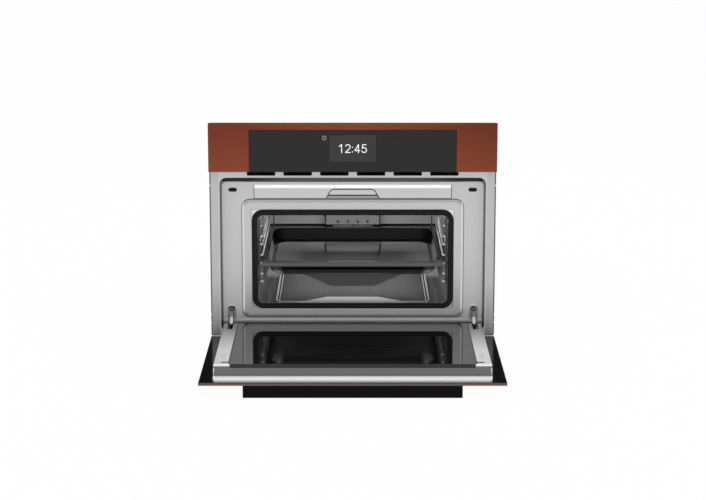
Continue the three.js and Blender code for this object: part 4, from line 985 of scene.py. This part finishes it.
# %% Side racks
def bent(points, radius):
    """A path whose corners are rounded by the same curve as the pressed turns."""
    stations = [np.array([point], float) for point in points]
    return pressed(stations, [radius] * (len(points) - 2), 6)[:, 0]


WIRE_RADIUS = 2


def wire(path, up=(0, 0, 1)):
    """Circle(s, a) = centre(s) + radius (cos a side(s) + sin a over(s)), side = tangent x up."""
    ahead = np.gradient(path, axis=0)
    ahead /= np.linalg.norm(ahead, axis=1, keepdims=True)
    side = np.cross(ahead, up)
    side /= np.linalg.norm(side, axis=1, keepdims=True)
    over = np.cross(side, ahead)
    angles = full_turn(12)
    ring = np.cos(angles)[:, None] * side[:, None] + np.sin(angles)[:, None] * over[:, None]
    return path[:, None] + WIRE_RADIUS * ring


def knurled_nut(sign, depth):
    """Radius(a, s) = table(s) + ridge(s) cos(teeth a), turned about a line along X."""
    teeth = 18
    places = np.array([0, 0, 0.5, 5.2, 5.9, 5.9])[:, None]
    radii = np.array([0.01, 5.6, 6.2, 6.2, 5.5, 0.01])[:, None]
    ridges = np.array([0, 0.1, 0.3, 0.3, 0.1, 0])[:, None]
    angles = full_turn(teeth * 4)
    radius = radii + ridges * np.cos(teeth * angles)
    x = (199.6 - places) * sign
    return surface(x, depth + radius * np.cos(angles), 198 + radius * np.sin(angles))


RUNNER_HEIGHTS = (108, 125, 148, 165, 188, 205, 228)
for word, sign in SIDES:
    rack = Shape()
    post_x, runner_x = 197.1 * sign, 190.1 * sign
    for depth in (34, 390):
        post = bent([(post_x, depth, 106), (post_x, depth, 174), (post_x, depth, 242)], 1)
        rack.solid(wire(post, up=(0, 1, 0)))
        rack.grid(knurled_nut(sign, depth), True)
    for height in RUNNER_HEIGHTS:
        corners = [(post_x, 34), (runner_x, 34), (runner_x, 390), (post_x, 390)]
        path = bent([(*corner, height) for corner in corners], 4)
        rack.solid(wire(path))
    made = closed_piece(f"wire_rack_{word}", rack)
    shown(made, "oven", CHROME, (f"side_rack_{word}",), sharp=50)

# %% [markdown]
# ## Steam tray
# The tray is deep-drawn, which is why its corners are so round: steel can't be drawn to a
# sharp one. A flat rim rests on the runners and its front is turned down as a lip. The skin is
# a set of lying outlines, from the hem of the lip to the middle of the floor.

# %% Tray
def laid(left, right, near, far, radius, height):
    return lying(rectangle(left, right, near, far, radius), height)


tray_stations = [
    laid(-193, 193, 25, 397, 12, 150.1),
    laid(-193, 193, 25, 397, 12, 151.5),
    laid(-180.5, 180.5, 40, 375, 24, 151.5),
    laid(-171.5, 171.5, 49, 366, 24, 119.9),
    laid(-120, 120, 100, 315, 24, 119.9),
]
tray_skin = pressed(tray_stations, [0.6, 3.4, 11], 8)
steam_tray = sheet_piece("drawn_tray", Shape().grid(tray_skin, True, "last"), 1.1)
lip_depth = np.array([25.3, 25.0, 25.0, 25.2, 26.0, 26.6, 26.5])[:, None]
lip_height = np.array([151.3, 150.6, 142.6, 141.8, 141.6, 142.2, 143.4])[:, None]
lip = surface(np.array([-190.6, -190.0, 190.0, 190.6]), lip_depth, lip_height)
tray_lip = sheet_piece("tray_lip", Shape().grid(lip, flip=True), 0.6)
shown(steam_tray, "tray", TRAY_STEEL, ("steam_tray",), sharp=50)
shown(tray_lip, "tray", TRAY_STEEL, sharp=60)

# %% [markdown]
# ## Water tank front
# The front of the tank drawer is a steel strip with rolled edges. In its middle a shallow grip
# is pressed in, narrower above than below, so that a finger can pull the drawer. The strip is
# a grid whose depth is a sum of steps: a roll at each edge and the pressed grip.

# %% Water tank front
def smooth_step(value):
    """3 v^2 - 2 v^3 between 0 and 1."""
    value = np.clip(value, 0, 1)
    return value * value * (3 - 2 * value)


def rolled(distance, radius):
    """How far an edge of this radius has fallen back at a distance from it."""
    inside = np.clip(radius - distance, 0, radius)
    return radius - np.sqrt(np.maximum(radius**2 - inside**2, 0))


def stops(low, high, edges, reach=4, fine=9):
    """Places from low to high that lie close together near each edge."""
    near = [np.linspace(edge - reach, edge + reach, fine) for edge in edges]
    places = np.unique(np.round(np.concatenate([np.linspace(low, high, 15), *near]), 3))
    return places[(places >= low) & (places <= high)]


strip_x = np.concatenate(
    [stops(-206.7, -60, (-206.7,)), np.linspace(-59, 59, 119), stops(60, 206.7, (206.7,))]
)
strip_z = np.concatenate([[289.7], np.linspace(289.9, 318.3, 58), [318.5]])
X, Z = np.meshgrid(strip_x, strip_z, indexing="ij")
half_grip = 55.5 - 11 * (Z - 289.7) / 19.8
from_side, from_top = half_grip - np.abs(X), 309.3 - Z
corner = np.hypot(np.minimum(from_side - 6, 0), np.minimum(from_top - 6, 0))
within_grip = np.minimum(np.minimum(from_side, from_top), 6 - corner)
grip = smooth_step(within_grip / 3.6 + 0.5)
edge = np.minimum(206.7 - np.abs(X), np.minimum(318.5 - Z + 0.2, Z - 289.7 + 0.2))
fold = smooth_step(1.5 - np.abs(Z - 296.4) / 1.1) * grip
strip_depth = 16.75 + 1.5 * grip - 0.8 * fold + rolled(edge, 1.0)
strip_depth += 2.45 * np.clip((Z - 311) / 7.5, 0, 1)
strip = surface(X, np.minimum(strip_depth, 19.2), Z)
tank_front = sheet_piece("tank_front", Shape().grid(strip, flip=True), 0.45)
shown(tank_front, "water_drawer", TANK_STEEL, ("tank_cover",), sharp=60)

# %% [markdown]
# ## Fascia
# A band of red mirror glass frames a panel of black glass, and the screen lies flush in it.
# All three are ground along their edges, so copies of the solids with broken edges do. The
# time on the screen and the small ring beside it are printed light: thin plates of their own,
# just under a tenth of a millimetre proud.

# %% Fascia glass
softened("fascia_glass", "red_fascia", 0.5, "oven", RED_GLASS, 3)
softened("control_panel_glass", "black_panel", 0.5, "oven", BLACK_GLASS, 3)
softened("display_screen", "clock_screen", 0.3, "oven", SCREEN)

FACE_DEPTH = -20
STROKE, DIGIT_SCALE = 1.8, 0.93


def turn_points(u, v, radius_u, radius_v, start, end):
    """Points of an arc in degrees: centre + (radius_u cos a, radius_v sin a)."""
    angles = np.radians(np.linspace(start, end, 20))
    return np.stack([u + radius_u * np.cos(angles), v + radius_v * np.sin(angles)], -1)


def stroke(points, width=STROKE):
    """A flat ribbon: point +- half a width along the bisector of the turn, in front and behind.

    Offset = n / (1 + n . m), with n and m the normals of the stretches before and after.
    """
    points = np.asarray(points, float)
    ahead = np.diff(points, axis=0)
    ahead /= np.linalg.norm(ahead, axis=1, keepdims=True)
    normal = np.stack([-ahead[:, 1], ahead[:, 0]], -1)
    before = np.concatenate([normal[:1], normal])
    after = np.concatenate([normal, normal[-1:]])
    offset = (before + after) / (1 + (before * after).sum(1, keepdims=True)) * width / 2
    near, far = facing(points + offset, FACE_DEPTH), facing(points - offset, FACE_DEPTH)
    proud = np.array([0, -0.08, 0])
    return np.stack([near, near + proud, far + proud, far], 1)


# Strokes of the digits from their lower left corner, in units of DIGIT_SCALE millimetres.
bow_of_two = turn_points(6.4, 13.9, 5.0, 4.9, 170, -38)
bow_of_five = turn_points(6.5, 6.7, 5.2, 5.5, 105, -165)
GLYPHS = {
    "1": [[(1.6, 14.6), (5.4, 16.4), (7.4, 19.9)], [(7.6, 19.9), (7.6, 0)]],
    "2": [[*bow_of_two, (7.2, 7.4), (3.4, 3.6), (1.9, 1.25)], [(0.4, 1.25), (12.4, 1.25)]],
    "4": [[(8.9, 19.9), (8.9, 0)], [(8.9, 18.6), (1.2, 6.0), (1.2, 5.6), (12.8, 5.6)]],
    "5": [[(11.6, 18.7), (3.4, 18.7), (2.1, 10.2)], [(1.9, 10.1), (3.6, 11.6), *bow_of_five]],
}
digits = Shape()
DIGIT_STARTS = (("1", -32.6), ("2", -17.6), ("4", 3.4), ("5", 18.4))
for digit, left in DIGIT_STARTS:
    for line in GLYPHS[digit]:
        points = np.asarray(line, float) * DIGIT_SCALE + [left * DIGIT_SCALE + 0.4, 392.2]
        digits.solid(stroke(points))
for height in (393.6, 403.2):
    digits.solid(stroke([(-0.4, height), (-0.4, height + 2.0)], 2.0))
clock = closed_piece("clock_digits", digits, 1e-7)
shown(clock, "oven", LIT, sharp=30)


def printed_ring(x, height, outer, inner):
    """A flat ring: two circles in front and two behind."""
    circles = [(inner, 0.0), (inner, -0.08), (outer, -0.08), (outer, 0.0), (inner, 0.0)]
    return np.stack([facing(disc(x, height, r, 40), FACE_DEPTH + d) for r, d in circles])


icon = Shape().grid(printed_ring(-58.6, 423.6, 4.3, 3.75), True)
icon.grid(printed_ring(-58.6, 423.6, 0.6, 0.1), True)
shown(closed_piece("touch_ring", icon), "oven", FAINT)

# %% [markdown]
# ## Door
# The door lies open, so it shows its inside: a dark inner pane between two brushed steel
# columns, and a folded trim across the far end, with a slanted wall, a bright ledge and a lip
# against the outer pane. These are folded and welded sheet, for which the solids with broken
# edges are right. The handle hangs under the outer pane.

# %% Door pieces
for word, _ in SIDES:
    node, name = f"door_column_{word}", f"column_{word}"
    softened(node, name, 0.9, "door", COLUMN_STEEL, 3)
softened("door_top_trim", "top_trim", 0.6, "door", TRIM_STEEL, 3, 20)
softened("door_inner_glass", "inner_pane", 0.5, "door", DOOR_GLASS)
softened("door_outer_glass", "outer_pane", 0.6, "door", OUTER_PANE)
softened("door_handle", "handle_bar", 1.4, "door", HANDLE_BLACK, 4)
softened("door_bottom_trim", "bottom_trim", 0.3, "door", GALVANISED)

# %% [markdown]
# ## Hinges
# A steel arm comes out of each slot in the front and carries the door on a pin. The arm is
# stamped, so its edges are slightly rounded. An oval collar frames the slot, a round-headed
# screw holds the hinge to the front, and a black cap closes the bearing.

# %% Hinges
HINGE_X = 255.5


def turned(x, height, profile):
    """Point(s, a) = centre + radius(s) (cos a, sin a), at depth(s): a part turned about Y."""
    radius, depth = np.asarray(profile, float).T[:, :, None]
    angles = full_turn(32)
    return surface(x + radius * np.cos(angles), depth, height + radius * np.sin(angles))


COLLAR_SECTION = ((0, 20), (0, 18.6), (0.5, 18.0), (1.6, 18.0), (2.1, 18.6), (2.1, 20), (0, 20))
SCREW_PROFILE = ((0.05, 12.4), (2.2, 12.5), (3.2, 13.2), (3.5, 14.2), (3.5, 20))
WASHER_PROFILE = ((3.6, 15.0), (5.0, 15.0), (5.3, 15.4), (5.3, 20), (3.6, 20))
CAP_PROFILE = ((0.05, -12.6), (2.0, -12.5), (2.7, -11.9), (2.9, -8.2), (0.05, -8.2))
for word, sign in SIDES:
    x = HINGE_X * sign
    softened(f"hinge_arm_{word}", f"arm_{word}", 0.7, "oven", HINGE_STEEL, 3)
    rows = [
        grown(8.8 - inset, 26.8 + inset, 61 - inset, 8.7 - inset, depth) + [x, 0, 0]
        for inset, depth in COLLAR_SECTION
    ]
    collar = closed_piece(f"hinge_collar_{word}", Shape().grid(np.stack(rows), True))
    shown(collar, "oven", HINGE_STEEL, sharp=50)
    head = Shape().solid(turned(x, 52.5, SCREW_PROFILE))
    screw = closed_piece(f"hinge_screw_{word}", head)
    shown(screw, "oven", HINGE_STEEL, sharp=40)
    dark_parts = Shape().solid(turned(x, 52.5, WASHER_PROFILE))
    dark_parts.solid(turned(x, 20.5, CAP_PROFILE))
    made = closed_piece(f"hinge_cap_{word}", dark_parts)
    shown(made, "oven", BLACK_PLASTIC, sharp=40)

# %% [markdown]
# ## Sill
# A thin black rubber strip under the front's lower edge closes the gap above the open door's outer
# pane, so that no light comes through from below: it is a dark sheet of painted shade.

# %% Sill
sill_section = [(0.4, -0.02), (0.4, -1.6), (0.9, -1.9), (5.5, -1.9), (6, -1.5), (6, -0.02)]
sill_ends = np.array([-296.5, 296.5])
sill = surface(sill_ends[:, None], *np.array(sill_section).T)
# The strip is a dark sheet standing for painted shade under the front's lower edge.
sill_shade_strip = closed_piece("sill_shade_strip", Shape().solid(sill))
shown(sill_shade_strip, "oven", SEAL_RUBBER, sharp=40)

# %% [markdown]
# ## Casing
# The sides, the back, the top and the bottom are thin zinc-coated sheet. Flat sheet that thin
# would drum, so it is pressed with shallow pans, and it is held by cross-headed screws that
# sit in dimples. Each panel is a grid whose relief is a sum of such pressings.

# %% Panels
def inside(u, v, box, radius, soft):
    """1 inside a rounded rectangle and 0 outside, with a smooth slope of width soft.

    Signed distance = |max(q, 0)| + min(max(q), 0) - radius, q = |p - centre| - half + radius.
    """
    left, right, low, high = box
    q_u = np.abs(u - (left + right) / 2) - (right - left) / 2 + radius
    q_v = np.abs(v - (low + high) / 2) - (high - low) / 2 + radius
    outside = np.hypot(np.maximum(q_u, 0), np.maximum(q_v, 0))
    distance = outside + np.minimum(np.maximum(q_u, q_v), 0) - radius
    return smooth_step(0.5 - distance / soft)


def relief(u, v, pans, screws):
    """Sum of the pressings: a pan is (box, radius, depth), and each screw has its dimple."""
    total = np.zeros(u.shape)
    for box, radius, depth in pans:
        total += depth * inside(u, v, box, radius, 5)
    for screw_u, screw_v in screws:
        total += 2.2 * smooth_step(1.6 - np.hypot(u - screw_u, v - screw_v) / 5.5)
    return total


def panel_grid(box, pans, screws):
    """Places over the panel, close together at the pressings, and the relief there."""
    boxes = [pan_box for pan_box, *_ in pans]
    u_edges = [edge for pan_box in boxes for edge in pan_box[:2]] + [u for u, _ in screws]
    v_edges = [edge for pan_box in boxes for edge in pan_box[2:]] + [v for _, v in screws]
    u, v = stops(*box[:2], u_edges, 10, 13), stops(*box[2:], v_edges, 10, 13)
    u, v = np.meshgrid(u, v, indexing="ij")
    return u, v, relief(u, v, pans, screws)


def screw_head(centre_u, centre_v):
    """Dome(r) = 1.7 (1 - (r/R)^2)^0.5, less a cross slot |u| or |v| < 0.15 R within 0.57 R."""
    share = np.array([1, 0.98, 0.86, 0.7, 0.58, 0.56, 0.3, 0.02])[:, None]
    angles = full_turn(28)
    u, v = share * np.cos(angles), share * np.sin(angles)
    dome = 1.7 * np.sqrt(np.maximum(1 - share**2, 0)) + 0 * angles
    cross = (np.minimum(np.abs(u), np.abs(v)) < 0.15) & (share < 0.57)
    return centre_u + 3.6 * u, centre_v + 3.6 * v, np.where(cross, dome - 0.9, dome) - 2.0


def panel(name, node, place, box, pans, screws, flip, punches=None):
    """A pressed panel with its screws. The relief goes inwards."""
    u, v, depth = panel_grid(box, pans, screws)
    made = sheet_piece(name, Shape().grid(place(u, v, -depth), flip=flip), 1.3)
    if punches:
        punched(made, punches)
    shown(made, "oven", GALVANISED, (node,), sharp=60)
    heads = Shape()
    for screw in screws:
        heads.grid(place(*screw_head(*screw)), True, "last")
    made = closed_piece(f"{name}_screws", heads)
    shown(made, "oven", CAST_ALUMINIUM, sharp=30)


def crossed(us, vs):
    """A screw at each crossing of these rows and columns."""
    return [(u, v) for v in vs for u in us]


CASING_HALF, CASING_TOP, CASING_BACK = 278.8, 366, 547.98


def on_side(sign):
    """How a side panel's own u, v and rise become a place."""
    return lambda u, v, rise: surface((CASING_HALF + rise) * sign, u, v)


side_box = (21.8, 546.2, 1.5, 364.2)
side_pans = [((60, 500, 60, 170), 12, 2.0), ((60, 500, 195, 305), 12, 2.0)]
side_screws = crossed((40, 280, 520), (20, 345))
for word, sign in SIDES:
    side_name, side_node = f"pressed_side_{word}", f"side_panel_{word}"
    panel(side_name, side_node, on_side(sign), side_box, side_pans, side_screws, sign > 0)

# %% [markdown]
# The back has a cover over the fan motor, slots through which the cooling fan draws its air,
# and the round hole of the mains inlet. The top has slots above the fan as well.

# %% Back, top and bottom
def slot_row(punches, lefts, low, high, start, end, stand=facing):
    """Slots 5 mm wide, from low to high, punched from start to end."""
    for left in lefts:
        punches.prism(rectangle(left, left + 5, low, high, 2.45), start, end, stand)
    return punches


def on_back(u, v, rise):
    return surface(u, CASING_BACK + rise, v)


def on_top(u, v, rise):
    return surface(u, v, CASING_TOP + rise)


rear_box = (-CASING_HALF, CASING_HALF, 0, CASING_TOP)
top_box = (-CASING_HALF, CASING_HALF, 59.1, 546.2)
rear_pans = [((-250, 250, 40, 272), 20, 2.4), ((-90, 90, 90, 226), 14, 2.0)]
rear_screws = crossed((-264, 0, 264), (20, 346)) + crossed((-264, 264), (180,))
rear_punches = slot_row(Shape(), np.arange(-220, -60, 13.0), 296, 330, 540, 556)
slot_row(rear_punches, np.arange(60, 190, 13.0), 296, 330, 540, 556)
rear_punches.prism(disc(225, 312, 10.3), 540, 556)
rear = ("pressed_back", "rear_panel", on_back, rear_box, rear_pans, rear_screws, False)
panel(*rear, rear_punches)
top_pans = [((-250, 250, 85, 250), 16, 2.0), ((-250, 250, 275, 500), 16, 2.0)]
top_screws = crossed((-265, 0, 265), (75, 530))
top_punches = slot_row(Shape(), np.arange(-60, 60, 12.0), 300, 370, 355, 375, lying)
slot_row(top_punches, np.arange(-60, 60, 12.0), 390, 460, 355, 375, lying)
top = ("pressed_top", "top_cover", on_top, top_box, top_pans, top_screws, True)
panel(*top, top_punches)
softened("base_pan", "base_tray", 0.5, "oven", GALVANISED)
softened("control_housing", "control_box", 0.8, "oven", GALVANISED)
softened("mains_inlet", "inlet_bush", 0.6, "oven", BLACK_PLASTIC)

# %% [markdown]
# ## Finishes for the solids that stay
# Everything else is hidden behind the front or shows only through a slot. Its solid is right
# as it is, and only needs its finish.

# %% Finishes by node
FINISHES = {
    GALVANISED: "component_shelf tank_bay air_duct hinge_receiver_left hinge_receiver_right "
    "hinge_cartridge_left hinge_cartridge_right",
    CHROME: "hinge_pin_left hinge_pin_right ring_heater",
    PIPE_STEEL: "steam_pipe",
    BLACK_PLASTIC: "fascia_carrier display_module cooling_fan_housing cooling_fan_impeller "
    "water_pump lamp_housing",
    CLEAR_PLASTIC: "water_tank tank_lid lamp_lens",
    CAST_ALUMINIUM: "steam_generator hot_air_impeller",
    MOTOR_METAL: "hot_air_motor cooling_fan_motor",
    CIRCUIT: "control_board power_board",
    HOSE_RUBBER: "pressure_hose",
    WOOL: "insulation",
    DOOR_GLASS: "door_middle_glass",
}
dressed = 0
for finish, names in FINISHES.items():
    for name in names.split():
        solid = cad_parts[name]
        for slot in solid.material_slots:
            slot.material = finish
        dressed += 1
print("solids with a new finish:", dressed)

# %% [markdown]
# ## Floor, light and background
# The oven stands on a pale floor in a white room. Four large soft lamps and the room's own
# light give a plain level. The background is white because the world and the floor look white
# to the camera and to mirrors, not because the lamps are strong. The floor keeps a soft
# shadow: a small part of it is still lit like any surface.

# %% Floor
FLOOR_HEIGHT, FLOOR_REACH = -33.0, 9000
WHITE_SHARE = 0.965


def looked_at(nodes):
    """1 for rays from the camera, from a mirror or through glass, and 0 for soft light."""
    seen = nodes.node("ShaderNodeLightPath", output="Is Camera Ray")
    for kind in ("Is Glossy Ray", "Is Transmission Ray"):
        seen = seen.math("MAXIMUM", seen, nodes.node("ShaderNodeLightPath", output=kind))
    return seen


reach = np.array([-FLOOR_REACH, FLOOR_REACH])
floor_grid = surface(reach, reach[:, None], FLOOR_HEIGHT)
floor = new_object("studio_floor", Shape().grid(floor_grid))
pale = Finish("pale_floor", Base_Color=(0.82, 0.82, 0.82), Roughness=0.9, Specular_IOR_Level=0.0)
white = pale.node("ShaderNodeEmission", None, {"Color": (1, 1, 1), "Strength": 1.0})
layers = {0: looked_at(pale) * WHITE_SHARE, 1: Value(pale, pale.shader.outputs[0]), 2: white}
blend = pale.node("ShaderNodeMixShader", None, layers)
pale.feed(pale.tree.nodes["Material Output"].inputs["Surface"], blend)
floor.data.materials.append(pale.material)

# %% World
ROOM_LIGHT = 0.72
world = bpy.data.worlds.new("white_room")
world.use_nodes = True
bpy.context.scene.world = world
world.node_tree.nodes.clear()
sky = Nodes(world.node_tree)
room = sky.node("ShaderNodeBackground", None, {"Color": (1, 1, 1), "Strength": ROOM_LIGHT})
backdrop = sky.node("ShaderNodeBackground", None, {"Color": (1, 1, 1)})
choice = sky.node("ShaderNodeMixShader", None, {0: looked_at(sky), 1: room, 2: backdrop})
sky.feed(sky.tree.nodes.new("ShaderNodeOutputWorld").inputs["Surface"], choice)

# %% [markdown]
# The open door's black glass mirrors what stands behind the oven. In the photograph that is
# dark, which is why the glass is black beside the steel. A dark card stands behind the oven for
# mirrors alone: it casts no shadow, and neither the camera nor soft light sees it.

# %% Dark card
def dome(azimuths, elevations, distance):
    """distance (sin a cos e, -cos a cos e, sin e): a patch of a sphere about the oven."""
    a, e = np.meshgrid(np.radians(azimuths), np.radians(elevations), indexing="ij")
    return distance * surface(np.sin(a) * np.cos(e), -np.cos(a) * np.cos(e), np.sin(e))


card_grid = dome(np.linspace(105, 255, 31), np.linspace(2, 64, 16), 7000)
card = new_object("dark_card", Shape().grid(card_grid + [0, FRONT_DEPTH, 0]))
dark = Finish("card_grey", Specular_IOR_Level=0.0, Roughness=1.0)
fading = dark.mix(dark.along("Z").ramp(0.4, 1.6), (0.75,) * 3, (0.03,) * 3)
dark.vary(Base_Color=(0, 0, 0), Emission_Color=fading, Emission_Strength=1.0)
card.data.materials.append(dark.material)
for ray in ("camera", "diffuse", "transmission", "shadow", "volume_scatter"):
    setattr(card, f"visible_{ray}", False)

# %% [markdown]
# The chamber has a lamp of its own in the ceiling. A small soft lamp stands in for it, and
# another for the light that comes in under the tray. Mirrors don't see either.

# %% Lamps
def soft_lamp(name, where, size, power):
    """A rectangular lamp that shines down and that the camera doesn't see."""
    light = bpy.data.lights.new(name, "AREA")
    light.shape, light.energy = "RECTANGLE", power
    light.size, light.size_y = size
    lamp = linked(name, light)
    lamp.location = where
    lamp.visible_camera = False
    return lamp


CHAMBER_LIGHTS = {
    "chamber_light": ((0, -0.1, 0.255), (0.3, 0.12), 0.6),
    "light_under_tray": ((0, -0.035, 0.114), (0.3, 0.26), 0.4),
}
LAMPS = {
    "overhead_lamp": ((0.0, -0.1, 2.5), (2.8, 1.7), 16),
    "left_lamp": ((-3.0, -1.2, 1.7), (1.6, 1.6), 14),
    "right_lamp": ((3.0, -1.2, 1.7), (1.6, 1.6), 11),
    "rear_lamp": ((0.4, 2.8, 2.2), (2.0, 2.0), 12),
}
AIM = Vector((0, -0.1, 0.2))
for name, settings in CHAMBER_LIGHTS.items():
    soft_lamp(name, *settings).visible_glossy = False
for name, settings in LAMPS.items():
    lamp = soft_lamp(name, *settings)
    lamp.rotation_euler = (lamp.location - AIM).to_track_quat("Z", "Y").to_euler()
bpy.context.scene.view_settings.view_transform = "Standard"
print("lamps:", len(LAMPS), "room light:", ROOM_LIGHT)
